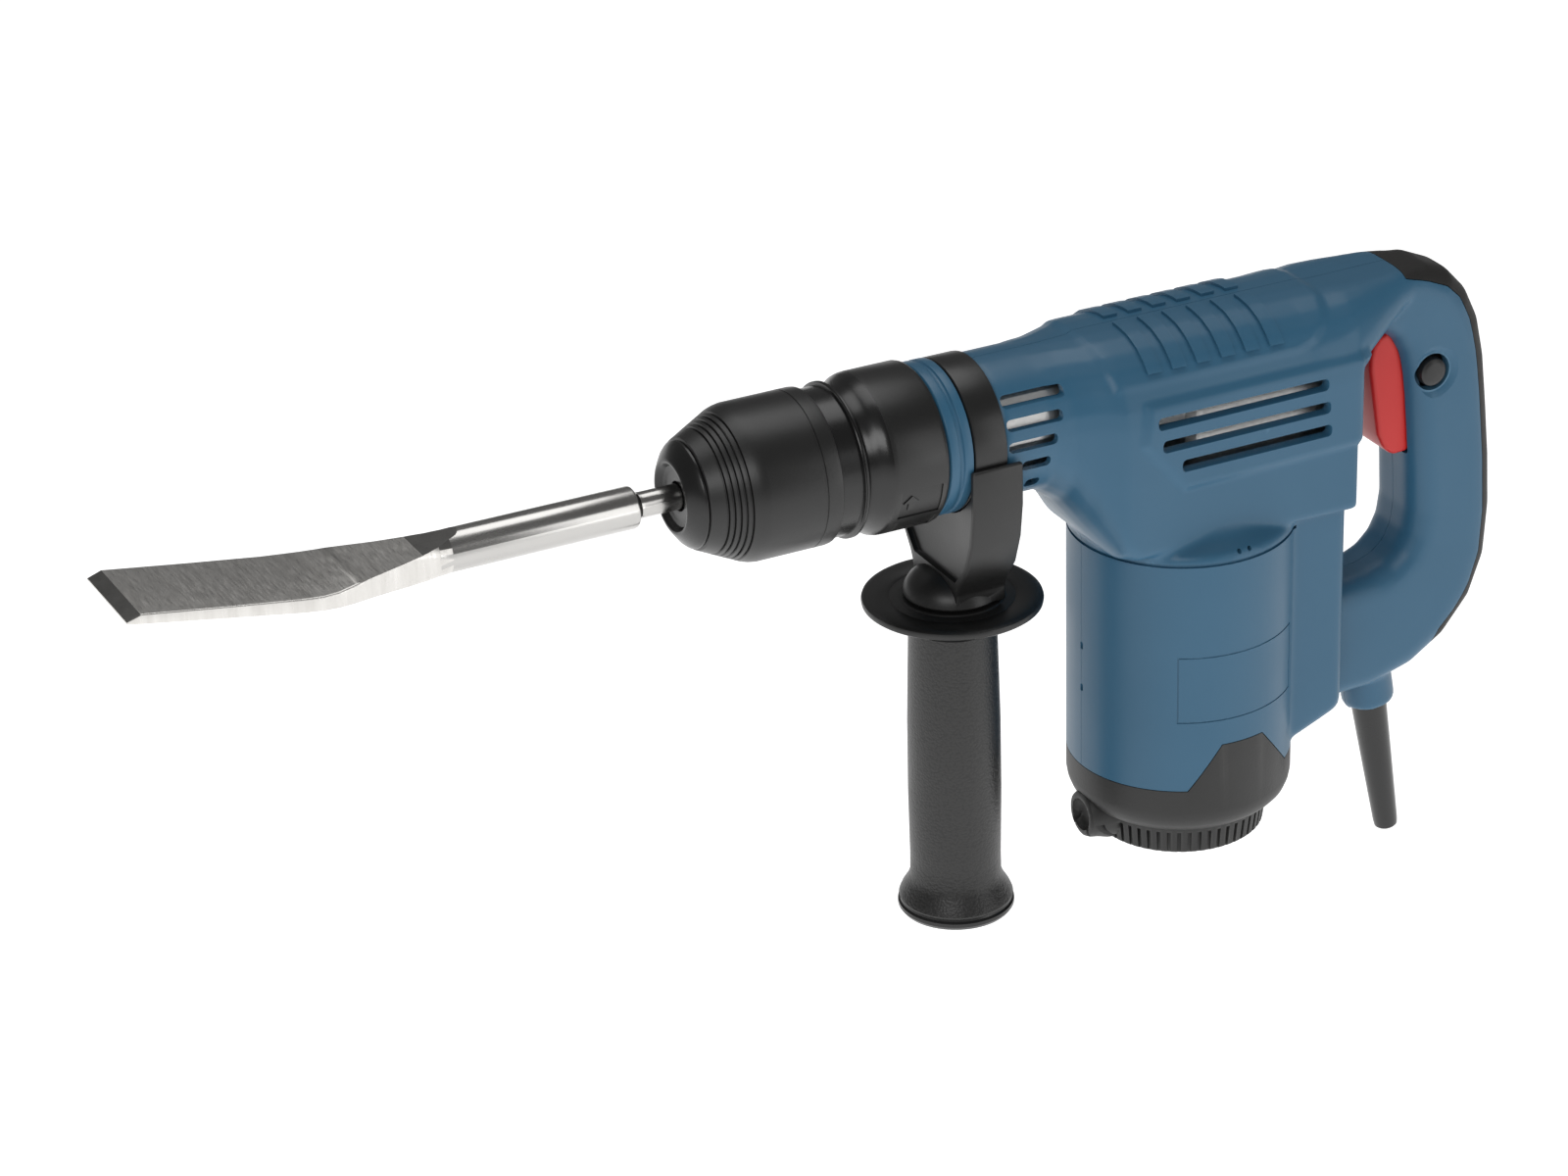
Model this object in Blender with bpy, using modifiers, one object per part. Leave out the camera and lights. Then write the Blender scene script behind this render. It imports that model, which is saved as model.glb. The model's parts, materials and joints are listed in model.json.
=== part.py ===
"""Corded chipping hammer with a quick-release chuck, a side handle and a D-shaped rear handle.

Sizes are in millimetres, turned into metres as meshes are made. Stations are given along the hammer
axis (x, rearwards) from the middle of the side handle, and heights (z) from the hammer axis.
"""
import math

import bmesh
import bpy

MM = 0.001
BASE_X = 46.2       # from the middle of the model to the side handle's station
BASE_Z = 221.5      # height of the hammer axis above the lowest point
GAP = 0.3           # clearance kept between separate pieces

MOTOR_X = 100.0     # upright motor axis
MOTOR_R = 44.0
CRANK_X = 124.2     # upright crank axis
CRANK_THROW = 5.0
WRIST_X = 64.0      # wrist pin with the crank at its front dead centre
NECK_R = 28.0
WALL = 2.6
FLANK = 35.0        # half width of the gear housing
REAR_X = 158.6      # rear wall of the gear housing
TOP_Z = 29.0
BELLY_Z = -55.5
CAP_TOP_Z = -155.0
CAP_FOOT_Z = -188.0
HANDLE_HALF = 17.0
GUARD_TOP = (188.5, 0, -160)
GUARD_TILT = -9.8   # degrees that the cord guard leans back
PINION_TEETH = 8
GEAR_TEETH = 40

FINISHES = {
    "blue": ((0.045, 0.125, 0.205), 0.48, 0.0),
    "black": ((0.016, 0.016, 0.017), 0.5, 0.0),
    "rubber": ((0.012, 0.012, 0.012), 0.75, 0.0),
    "red": ((0.72, 0.035, 0.02), 0.4, 0.0),
    "steel": ((0.55, 0.54, 0.52), 0.3, 1.0),
    "alloy": ((0.6, 0.61, 0.62), 0.4, 1.0),
    "brass": ((0.7, 0.5, 0.2), 0.35, 1.0),
    "copper": ((0.65, 0.28, 0.12), 0.4, 1.0),
    "carbon": ((0.03, 0.03, 0.03), 0.7, 0.0),
    "iron": ((0.2, 0.2, 0.21), 0.5, 1.0),
    "white": ((0.75, 0.75, 0.72), 0.5, 0.0),
}


def clear_scene():
    for obj in list(bpy.data.objects):
        bpy.data.objects.remove(obj, do_unlink=True)


def new_collection(name):
    collection = bpy.data.collections.new(name)
    bpy.context.scene.collection.children.link(collection)
    return collection


clear_scene()
PARTS = new_collection("rotary_hammer")
CUTTERS = new_collection("cutters")


# ---------------------------------------------------------------- helpers

def place(x, y, z):
    return ((x + BASE_X) * MM, y * MM, (z + BASE_Z) * MM)


def make_material(name, finish):
    colour, roughness, metallic = FINISHES[finish]
    material = bpy.data.materials.new(name)
    material.use_nodes = True
    shader = material.node_tree.nodes["Principled BSDF"]
    shader.inputs["Base Color"].default_value = (*colour, 1.0)
    shader.inputs["Roughness"].default_value = roughness
    shader.inputs["Metallic"].default_value = metallic
    material.diffuse_color = (*colour, 1.0)
    return material


def new_object(name, data, finish):
    """A part when it has a finish, otherwise a cutter that is never built."""
    obj = bpy.data.objects.new(name, data)
    if finish:
        PARTS.objects.link(obj)
        data.materials.append(make_material(name, finish))
    else:
        CUTTERS.objects.link(obj)
        obj.hide_render = True
        obj.display_type = "WIRE"
    return obj


def baked_mesh(obj, name):
    """The object's evaluated shape as a welded mesh in its own space."""
    bpy.context.view_layer.update()
    depsgraph = bpy.context.evaluated_depsgraph_get()
    mesh = bpy.data.meshes.new_from_object(obj.evaluated_get(depsgraph))
    mesh.name = name
    shape = bmesh.new()
    shape.from_mesh(mesh)
    bmesh.ops.remove_doubles(shape, verts=shape.verts, dist=0.000002)
    bmesh.ops.recalc_face_normals(shape, faces=shape.faces)
    shape.to_mesh(mesh)
    shape.free()
    return mesh


def bake(obj, finish=None):
    """Replace an object by its baked shape, under the same name."""
    name = obj.name
    mesh = baked_mesh(obj, name)
    matrix = obj.matrix_world.copy()
    mesh.materials.clear()
    bpy.data.objects.remove(obj, do_unlink=True)
    solid = new_object(name, mesh, finish)
    solid.matrix_world = matrix
    return solid


def smooth(obj, angle=35):
    obj.data.shade_smooth()
    obj.data.set_sharp_from_angle(angle=math.radians(angle))
    return obj


def boolean(obj, others, operation, solver="EXACT"):
    for other in others:
        modifier = obj.modifiers.new(operation.lower(), "BOOLEAN")
        modifier.operation = operation
        modifier.solver = solver
        modifier.object = other
    return obj


def cut(obj, *cutters, solver="EXACT"):
    return boolean(obj, cutters, "DIFFERENCE", solver)


def join(obj, *others, solver="EXACT"):
    return boolean(obj, others, "UNION", solver)


def turned(name, profile, finish=None, axis="X", at=(0, 0, 0), steps=24, tilt=0.0):
    """Revolve (station, radius) points; ends on the axis make a solid, otherwise it is a ring."""
    points = list(profile)
    following = points[1:] + points[:1]
    area = sum(r0 * s1 - r1 * s0 for (s0, r0), (s1, r1) in zip(points, following))
    if area > 0:
        points.reverse()
    count = len(points)
    edges = [(i, i + 1) for i in range(count - 1)]
    if points[0][1] > 0:
        edges.append((count - 1, 0))
    mesh = bpy.data.meshes.new(name)
    mesh.from_pydata([(radius * MM, 0, station * MM) for station, radius in points], edges, [])
    obj = new_object(name, mesh, finish)
    obj.location = place(*at)
    turn = {"X": (0, math.pi / 2, 0), "Y": (-math.pi / 2, 0, 0), "Z": (0, math.radians(tilt), 0)}
    obj.rotation_euler = turn[axis]
    screw = obj.modifiers.new("turn", "SCREW")
    screw.steps = steps
    screw.render_steps = steps
    screw.use_merge_vertices = True
    screw.merge_threshold = 0.00002
    screw.use_smooth_shade = True
    return obj


def rod(name, start, end, radius, finish=None, axis="X", at=(0, 0, 0), steps=16, chamfer=0.3):
    profile = [(start, 0), (start, radius - chamfer), (start + chamfer, radius),
               (end - chamfer, radius), (end, radius - chamfer), (end, 0)]
    return turned(name, profile, finish, axis, at, steps)


def ring(name, start, end, inner, outer, finish=None, axis="X", at=(0, 0, 0), steps=16):
    profile = [(start, inner), (start, outer), (end, outer), (end, inner)]
    return turned(name, profile, finish, axis, at, steps)


def block(name, low, high, finish=None, bevel=0.0):
    """A box between two corners, with rounded edges when a bevel is given."""
    mesh = bpy.data.meshes.new(name)
    shape = bmesh.new()
    bmesh.ops.create_cube(shape, size=1.0)
    for vert in shape.verts:
        vert.co = [vert.co[i] * (high[i] - low[i]) * MM for i in range(3)]
    shape.to_mesh(mesh)
    shape.free()
    obj = new_object(name, mesh, finish)
    obj.location = place(*[(low[i] + high[i]) / 2 for i in range(3)])
    if bevel:
        modifier = obj.modifiers.new("edges", "BEVEL")
        modifier.width = bevel * MM
        modifier.segments = 1
    return obj


def outline(name, loop, half, finish=None, bevel=0.0, shrink=0.0, plane="XZ", at=(0, 0, 0)):
    """A flat outline made thick both ways, with rounded edges; positive shrink moves its edge in."""
    curve = bpy.data.curves.new(name, "CURVE")
    curve.dimensions = "2D"
    curve.fill_mode = "BOTH"
    following = loop[1:] + loop[:1]
    turn = sum(a[0] * b[1] - b[0] * a[1] for a, b in zip(loop, following))
    points = loop if turn < 0 else loop[::-1]
    spline = curve.splines.new("POLY")
    spline.points.add(len(points) - 1)
    for point, (u, v) in zip(spline.points, points):
        point.co = (u * MM, v * MM, 0, 1)
    spline.use_cyclic_u = True
    curve.extrude = (half - bevel) * MM
    curve.bevel_depth = bevel * MM
    curve.bevel_resolution = 0
    curve.offset = -(bevel + shrink) * MM
    obj = bpy.data.objects.new(name, curve)
    CUTTERS.objects.link(obj)
    obj.location = place(*at)
    if plane == "XZ":
        obj.rotation_euler = (math.pi / 2, 0, 0)
    if plane == "YZ":
        obj.rotation_euler = (math.pi / 2, 0, math.pi / 2)
    return bake(obj, finish)


def section(half_width, top, bottom, corner, low_corner=None, points=3):
    """A rounded rectangle as (y, z) points, anticlockwise from the right."""
    low = corner if low_corner is None else low_corner
    ring_points = []
    centres = [(half_width - corner, top - corner, corner), (corner - half_width, top - corner, corner),
               (low - half_width, bottom + low, low), (half_width - low, bottom + low, low)]
    for quarter, (cy, cz, radius) in enumerate(centres):
        for step in range(points + 1):
            angle = math.radians(90 * quarter + 90 * step / points)
            ring_points.append((cy + radius * math.cos(angle), cz + radius * math.sin(angle)))
    return ring_points


def loft(name, sections, finish=None):
    """Skin over (x, section) pairs, closed at both ends."""
    mesh = bpy.data.meshes.new(name)
    shape = bmesh.new()
    rows = [[shape.verts.new((x * MM, y * MM, z * MM)) for y, z in points] for x, points in sections]
    count = len(rows[0])
    for near, far in zip(rows, rows[1:]):
        for i in range(count):
            shape.faces.new((near[i], near[(i + 1) % count], far[(i + 1) % count], far[i]))
    shape.faces.new(rows[0])
    shape.faces.new(rows[-1])
    bmesh.ops.recalc_face_normals(shape, faces=shape.faces)
    shape.to_mesh(mesh)
    shape.free()
    obj = new_object(name, mesh, finish)
    obj.location = place(0, 0, 0)
    return obj


def set_origin(obj, x, y, z):
    """Move an object's origin to a joint, leaving its shape in place."""
    bpy.context.view_layer.update()
    target = obj.matrix_world.copy()
    target.translation = place(x, y, z)
    obj.data.transform(target.inverted() @ obj.matrix_world)
    obj.matrix_world = target
    return obj


# ---------------------------------------------------------------- housing

HANDLE_LOOP = [
    (120, 28.4), (189, 29.2), (203, 28.2), (213, 24.2), (221, 17), (226.5, 7.5), (230, -6),
    (233, -28), (235.8, -56), (237, -80), (235.8, -98), (231.5, -113), (224, -126), (212, -137),
    (200, -143), (178, -147), (120, -147),
    (120, -100), (162, -99.5), (181, -97.5), (190, -93.5), (195.5, -86), (197.5, -76),
    (196.5, -50), (193.5, -20), (190.5, -4), (184, 4), (172, 8), (120, 8),
]
GRIP_LINE = [
    (190, 45), (190, 25.5), (202, 22.5), (212, 17.5), (218, 10.5), (222.5, 1), (225.5, -10),
    (228, -30), (230.7, -56), (231.8, -80), (230.6, -96), (226.5, -110), (219, -121.5),
    (213, -127), (213, -150), (260, -150), (260, 45),
]
COLUMN_LOOP = [(100, -50), (158, -50), (158, -143.5), (137, -152), (100, -160)]
TAB_LOOP = [(80, -155), (93, -135.5), (112, -135.5), (128.5, -155), (128.5, -200), (80, -200)]
TRIGGER_SPACE = [(170, 4.6), (204, 4.6), (207, -20), (207, -55), (170, -55)]
TRIGGER_PIVOT = (193.5, 0, 0.5)
LOCK_CENTRE = (203.5, 0, -15)
SCREW_POINTS = [(60, -37), (151, -72), (150, -128), (186, -121), (176, 18)]
FRONT_SLOTS = [(9.7, 36, 17.5), (9.7, 34, 9.8), (9.7, 31, 1.6), (15.5, 28, -7.2), (19, 25.5, -16.8)]
SIDE_SLOTS = [(70, 143, -1), (72, 144, -10), (80, 145, -19)]


def gear_housing(name, inset):
    """The wide housing over the mechanism, from the neck to the rear wall."""
    neck = NECK_R - inset
    half = FLANK - inset
    top = TOP_Z - inset
    front = 9 if inset == 0 else 4
    rear = REAR_X - inset
    rows = [
        (front, section(neck, neck, -neck, neck * 0.97)),
        (30, section(neck, neck, -neck, neck * 0.97)),
        (44, section(neck + 0.5, neck + 0.4, -(44 - inset), 24)),
        (53 + inset / 2, section(half - 4, top, BELLY_Z + 1.5 + inset, 27 - inset, 16)),
        (66, section(half, top, BELLY_Z + inset, 29 - inset, 5)),
        (rear, section(half - 0.5, top, BELLY_Z + inset, 28 - inset, 3)),
    ]
    return loft(name, rows)


def shoulder(name, inset):
    """The housing's top rear, narrowing into the handle."""
    half = FLANK - inset
    top = TOP_Z - inset
    rows = [
        (150, section(half - 1, top - 0.1, -6, 27, 6)),
        (163, section(half - 4, top - 0.1, 1, 20, 6)),
        (178, section(25 - inset, top - 0.1, 9, 13, 6)),
        (190, section(18.5 - inset, top - 0.3, 18, 4)),
    ]
    return loft(name, rows)


def housing_outer():
    body = gear_housing("housing_outer", 0)
    motor = rod("motor_tube", CAP_TOP_Z, -48, MOTOR_R, axis="Z", at=(MOTOR_X, 0, 0), steps=32)
    neck = rod("neck_tube", -15.8, 12, 26.3, steps=24)
    column = outline("column", COLUMN_LOOP, 29, bevel=5)
    handle = outline("handle_bow", HANDLE_LOOP, HANDLE_HALF, bevel=9)
    boss = turned("cord_boss", [(0, 0), (0, 9.6), (2, 10.6), (22, 10.6), (22, 0)],
                  axis="Z", at=GUARD_TOP, steps=24, tilt=GUARD_TILT)
    join(body, motor, neck, column, handle, shoulder("shoulder", 0), boss, solver="MANIFOLD")
    return bake(body)


def housing_cavity():
    body = gear_housing("housing_cavity", WALL)
    motor = rod("motor_space", CAP_TOP_Z - 10, -50, MOTOR_R - WALL, axis="Z", at=(MOTOR_X, 0, 0), steps=32)
    neck = rod("neck_space", -30, 30, 24.0, steps=24)
    column = outline("column_space", COLUMN_LOOP, 29 - WALL, bevel=4, shrink=WALL)
    handle = outline("handle_space", HANDLE_LOOP, 10, bevel=2, shrink=7.6)
    join(body, motor, neck, column, handle, solver="MANIFOLD")
    for i, (x, z) in enumerate(SCREW_POINTS):
        boss = rod(f"screw_boss_{i}", -60, 60, 4.6, axis="Y", at=(x, 0, z), steps=14)
        cut(body, boss, solver="MANIFOLD")
    return bake(body)


def slot_cutters():
    slots = []
    for i, (start, end, z) in enumerate(FRONT_SLOTS):
        slots.append(block(f"front_slot_{i}", (start, -60, z - 2), (end, 60, z + 2)))
    for i, (start, end, z) in enumerate(SIDE_SLOTS):
        slots.append(block(f"side_slot_{i}", (start, -60, z - 1.9), (end, 60, z + 1.9)))
    return slots


def screw_holes(x, z, index):
    shank = rod(f"shank_hole_{index}", -9, 60, 1.9, axis="Y", at=(x, 0, z), steps=12)
    head = rod(f"head_hole_{index}", 9, 60, 4.0, axis="Y", at=(x, 0, z), steps=14)
    return [shank, head]


def housing():
    """Two shells from one body; the exact solver leaves open edges on it, so these use the other one."""
    shell = housing_outer()
    cutters = [
        housing_cavity(),
        outline("grip_line", GRIP_LINE, 40, shrink=-GAP),
        outline("tab_space", TAB_LOOP, 60, shrink=-GAP),
        outline("trigger_space", TRIGGER_SPACE, 10.2),
        rod("trigger_pin_hole", -12.4, 12.4, 1.8, axis="Y", at=TRIGGER_PIVOT, steps=12),
        rod("lock_hole", -30, -10.5, 6.2, axis="Y", at=LOCK_CENTRE, steps=24),
        turned("guard_hole", [(-5, 0), (-5, 7.7), (14, 7.7), (14, 0)],
               axis="Z", at=GUARD_TOP, steps=20, tilt=GUARD_TILT),
    ]
    cutters += slot_cutters()
    for i, (x, z) in enumerate(SCREW_POINTS):
        cutters += screw_holes(x, z, i)
    cut(shell, *cutters, solver="MANIFOLD")
    solid = bake(shell)
    for side, low, high in (("left", -80, -0.15), ("right", 0.15, 80)):
        half = new_object(f"housing_{side}", solid.data.copy(), "blue")
        half.location = solid.location
        side_box = block(f"{side}_side", (-60, low, -240), (280, high, 80))
        boolean(half, [side_box], "INTERSECT", solver="MANIFOLD")
        smooth(half)
    for i, (x, z) in enumerate(SCREW_POINTS):
        profile = [(-8.5, 0), (-8.5, 1.5), (9.3, 1.5), (9.3, 3.6), (12, 3.6), (12, 0)]
        turned(f"housing_screw_{i + 1}", profile, "steel", axis="Y", at=(x, 0, z), steps=12)


def soft_grip():
    handle = outline("soft_grip", HANDLE_LOOP, HANDLE_HALF, "rubber", bevel=9)
    boolean(handle, [outline("grip_region", GRIP_LINE, 40)], "INTERSECT")
    smooth(handle)


def front_collar():
    profile = [(-15.6, 26.7), (-15.6, 28.6), (-14.8, 29.4), (-6, 29.3), (-6, 26.7)]
    turned("front_collar", profile, "blue", steps=24)


def motor_cap():
    outside = [(-130, 0), (-130, MOTOR_R), (-166, MOTOR_R), (-172.5, 41.5), (-176, 36.5), (-178.5, 34),
               (CAP_FOOT_Z + 1, 33), (CAP_FOOT_Z, 32), (CAP_FOOT_Z, 0)]
    inside = [(-120, 0), (-120, MOTOR_R - WALL), (-164, MOTOR_R - WALL), (-168, 39.2), (-174.5, 32.5),
              (-174.5, 0)]
    cap = turned("motor_cap", outside, "black", axis="Z", at=(MOTOR_X, 0, 0), steps=32)
    join(cap, rod("cap_boss", 55.8, 75, 8.0, at=(0, 0, -179.5), steps=20), solver="MANIFOLD")
    space = turned("cap_space", inside, axis="Z", at=(MOTOR_X, 0, 0), steps=32)
    seat = [(-180, 0), (-180, 14), (-163, 14), (-163, 11.3), (-171.2, 11.3), (-171.2, 0)]
    cut(cap, space, solver="MANIFOLD")
    join(cap, turned("bearing_seat", seat, axis="Z", at=(MOTOR_X, 0, 0), steps=28), solver="MANIFOLD")
    rim = block("cap_rim", (40, -60, CAP_TOP_Z - GAP), (160, 60, -100))
    cut(rim, outline("tab_region", TAB_LOOP, 70))
    screw_hole = rod("cap_screw_hole", 50, 63, 4.2, at=(0, 0, -179.5), steps=16)
    cut(cap, rim, screw_hole, solver="MANIFOLD")


def cord_guard():
    profile = [(-61.5, 2.9), (-61.5, 4.8), (0, 7.2), (12, 7.3), (12, 2.9)]
    turned("cord_guard", profile, "rubber", axis="Z", at=GUARD_TOP, steps=20, tilt=GUARD_TILT)


# ---------------------------------------------------------------- mechanism inside the housing

def gear_case():
    case = rod("gear_case", -34, 100, 23, "alloy", steps=24)
    join(case, block("case_box", (88, -25.5, -29.6), (152, 25.5, 17), bevel=3))
    bore = turned("case_bore", [(-40, 0), (-40, 22), (-15, 22), (-15, 16.8), (95, 16.8), (95, 0)], steps=32)
    cut(case, bore, block("case_space", (91.5, -22.6, -40), (148.6, 22.6, 13.5)))
    bake_smooth(case, "alloy")


def bake_smooth(obj, finish):
    return smooth(bake(obj, finish))


def gear_plate():
    plate = block("gear_plate", (68, -27, -40), (152, 27, -30), "alloy", bevel=1)
    bore = [(-45, 0), (-45, 11.3), (-32.2, 11.3), (-32.2, 6), (-25, 6), (-25, 0)]
    cut(plate, turned("shaft_bore", bore, axis="Z", at=(MOTOR_X, 0, 0), steps=20))
    cut(plate, rod("crank_seat", -37.5, -20, 6.4, axis="Z", at=(CRANK_X, 0, 0), steps=20))


def bearing(name, station):
    ring(name, station - 3.5, station + 3.5, 4.3, 11, "steel", "Z", (MOTOR_X, 0, 0), steps=20)


def toothed_loop(teeth, pitch_r, outer_r, root_r, start):
    """A gear's outline: four points a tooth, tooth number one centred at the start angle."""
    points = []
    pitch = 2 * math.pi / teeth
    for tooth in range(teeth):
        middle = math.radians(start) + tooth * pitch
        tip = 0.42 / outer_r
        root = 0.95 / pitch_r
        for radius, offset in ((root_r, -root), (outer_r, -tip), (outer_r, tip), (root_r, root)):
            points.append((radius * math.cos(middle + offset), radius * math.sin(middle + offset)))
    return points


def armature():
    at = (MOTOR_X, 0, 0)
    shaft = turned("armature_shaft", [(-170.8, 0), (-170.8, 4), (-31, 4), (-29, 2.6), (-18, 2.6), (-18, 0)],
                   "steel", axis="Z", at=at, steps=20)
    pinion = outline("pinion", toothed_loop(PINION_TEETH, 4, 5, 2.9, 0), 4.5, plane="XY",
                     at=(MOTOR_X, 0, -22.2))
    join(shaft, pinion)
    ring("armature_core", -124, -86, 4.3, 23.6, "iron", "Z", at, 16)
    turned("winding_upper", [(-85.6, 4.3), (-85.6, 21), (-79, 18), (-76, 9), (-76, 4.3)], "copper", "Z", at, 16)
    turned("winding_lower", [(-124.4, 4.3), (-124.4, 21), (-131, 18), (-134, 9), (-134, 4.3)],
           "copper", "Z", at, 16)
    ring("commutator", -152, -137, 4.3, 13, "copper", "Z", at, 16)
    fan = turned("cooling_fan", [(-70, 4.3), (-70, 8), (-58, 10), (-56, 34), (-54.5, 34), (-54.5, 4.3)],
                 "black", "Z", at, 16)
    for blade in range(9):
        angle = 2 * math.pi * blade / 9
        vane = block(f"fan_vane_{blade}", (8, -0.8, -68), (34, 0.8, -55))
        vane.data.transform(vane.matrix_world.__class__.Translation((21 * MM, 0, 0)))
        vane.location = place(MOTOR_X, 0, -61.5)
        vane.rotation_euler = (0, 0, angle)
        join(fan, vane)


def stator():
    at = (MOTOR_X, 0, 0)
    ring("stator_core", -125, -85, 30, 38, "iron", "Z", at, 16)
    for side, turn in (("left", 180), ("right", 0)):
        arc = []
        for step in range(9):
            angle = math.radians(turn + 30 + 120 * step / 8)
            arc.append((29.0 * math.cos(angle), 29.0 * math.sin(angle)))
        for step in range(8, -1, -1):
            angle = math.radians(turn + 30 + 120 * step / 8)
            arc.append((24.6 * math.cos(angle), 24.6 * math.sin(angle)))
        outline(f"field_coil_{side}", arc, 27, "copper", plane="XY", at=(MOTOR_X, 0, -105))


def brushes():
    for side, sign in (("left", -1), ("right", 1)):
        near, far = sorted((sign * 13.4, sign * 26))
        block(f"brush_{side}", (MOTOR_X - 3, near, -148.5), (MOTOR_X + 3, far, -140.5), "carbon")
        near, far = sorted((sign * 16, sign * 36))
        holder = block(f"brush_holder_{side}", (MOTOR_X - 4.5, near, -150), (MOTOR_X + 4.5, far, -139), "brass")
        cut(holder, block(f"brush_slot_{side}", (MOTOR_X - 3.3, -50, -148.8), (MOTOR_X + 3.3, 50, -140.2)))


def crank():
    gear = outline("crank_gear", toothed_loop(GEAR_TEETH, 20, 21, 18.7, 180 + 180 / GEAR_TEETH), 4,
                   "steel", plane="XY", at=(CRANK_X, 0, -22.2))
    hub = turned("crank_hub", [(-37, 0), (-37, 6), (-19, 6), (-18.9, 12), (-8, 12), (-8, 0)],
                 axis="Z", at=(CRANK_X, 0, 0), steps=24)
    pin = rod("crank_pin", -10, 6, 3.5, axis="Z", at=(CRANK_X - CRANK_THROW, 0, 0), steps=16)
    join(gear, hub, pin)


def con_rod():
    """Big end on the crank pin; the small end carries the wrist pin and floats in the piston."""
    pin_x = CRANK_X - CRANK_THROW
    link = block("con_rod", (WRIST_X, -2.6, -3.2), (pin_x - 5, 2.6, 3.2), "steel")
    join(link, rod("big_end", -4.2, 4.2, 7, axis="Z", at=(pin_x, 0, 0), steps=20))
    join(link, rod("small_end", -4.5, 4.5, 5, axis="Z", at=(WRIST_X, 0, 0), steps=20))
    cut(link, rod("big_bore", -20, 20, 3.8, axis="Z", at=(pin_x, 0, 0), steps=16))
    cut(link, rod("small_bore", -20, 20, 2.3, axis="Z", at=(WRIST_X, 0, 0), steps=12))
    set_origin(bake_smooth(link, "steel"), pin_x, 0, 0)
    rod("wrist_pin", -7.5, 7.5, 2, "steel", axis="Z", at=(WRIST_X, 0, 0), steps=12)


def striking_line():
    ring("hammer_cylinder", -12, 84, 13.4, 16.5, "steel", steps=20)
    cup = [(32, 0), (32, 12.4), (33, 13), (36.5, 13), (36.5, 11.4), (39, 11.4), (39, 13), (76, 13),
           (76, 11.2), (44, 11.2), (43, 0)]
    turned("piston", cup, "alloy", steps=20)
    ring("piston_o_ring", 36.8, 38.7, 11.7, 13.1, "rubber")
    ram = [(-8, 0), (-8, 7), (-4, 12.5), (-3, 13), (2, 13), (2, 11.4), (4.5, 11.4), (4.5, 13), (16, 13),
           (16, 0)]
    turned("ram", ram, "steel", steps=20)
    ring("ram_o_ring", 2.3, 4.2, 11.7, 13.1, "rubber")
    striker = [(-66, 0), (-66, 4.3), (-65.5, 4.8), (-44, 4.8), (-42, 7.6), (-23, 7.6), (-22, 7), (-22, 0)]
    turned("striker_pin", striker, "steel", steps=20)


# ---------------------------------------------------------------- chuck and chisel

def tool_holder():
    tube = [(-107, 5.2), (-107, 9), (-105, 11), (-50, 11), (-50, 17), (-15.6, 17), (-15.6, 8), (-43, 8),
            (-45.5, 5.2)]
    holder = turned("tool_holder", tube, "steel", steps=20)
    cut(holder, rod("ball_hole", 0, 14, 3.3, axis="Z", at=(-93, 0, 0), steps=14))
    profile = []
    for step in range(9):
        angle = math.pi * step / 8
        profile.append((3 * math.cos(angle), 3 * math.sin(angle) if 0 < step < 8 else 0))
    turned("locking_ball", profile, "steel", axis="Z", at=(-93, 0, 8.3), steps=14)
    ring("holder_bearing", -31, -18, 17.6, 21.7, "steel", steps=20)
    ring("shaft_seal", -33.8, -31.3, 17.6, 21.7, "rubber", steps=20)


def angle_ring():
    profile = [(-48, 17.5), (-48, 26.4), (-45, 27.4), (-39, 30.9), (-17.5, 30.9),
               (-16.4, 30), (-16.4, 24), (-36, 24), (-36, 17.5)]
    turned("adjustment_ring", profile, "black", steps=24)


def spring_cover():
    profile = [(-66, 11.4), (-66, 28), (-51.2, 28.2), (-50.8, 29.5), (-49.2, 29.6), (-48.6, 28.6),
               (-48.6, 17.5), (-51, 17.5), (-51, 11.4)]
    turned("spring_cover", profile, "black", steps=24)


def locking_sleeve():
    outer = [(-109, 20.9), (-91.5, 29.0), (-88.5, 29.8), (-61, 29.8), (-59.4, 29.4)]
    inner = [(-59.4, 28.6), (-77, 28.6), (-79.5, 26.5), (-97, 26.5), (-97, 11.4), (-109, 11.4)]
    turned("locking_sleeve", outer + inner, "black", steps=24)
    ring("lock_ring", -96.6, -90, 11.5, 19, "steel")


def dust_cap():
    profile = [(-109.3, 5.6), (-109.3, 20.5), (-111.2, 19.3), (-114.2, 15.4), (-115.2, 13.6), (-115, 12.4),
               (-113.4, 11.4), (-113.2, 5.6)]
    turned("dust_cap", profile, "rubber", steps=24)


def sleeve_spring():
    turns = 5
    per_turn = 10
    curve = bpy.data.curves.new("sleeve_spring", "CURVE")
    curve.dimensions = "3D"
    spline = curve.splines.new("POLY")
    count = turns * per_turn
    spline.points.add(count)
    for index, point in enumerate(spline.points):
        angle = 2 * math.pi * index / per_turn
        station = -87.2 + 19.6 * index / count
        point.co = (station * MM, 22.5 * MM * math.cos(angle), 22.5 * MM * math.sin(angle), 1)
    curve.bevel_depth = 1.0 * MM
    curve.bevel_resolution = 1
    curve.use_fill_caps = True
    obj = bpy.data.objects.new("sleeve_spring", curve)
    CUTTERS.objects.link(obj)
    obj.location = place(0, 0, 0)
    bake_smooth(obj, "steel")


def flat_section(half_width, half_height, corner, height):
    return section(half_width, height + half_height, height - half_height, corner, points=3)


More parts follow.
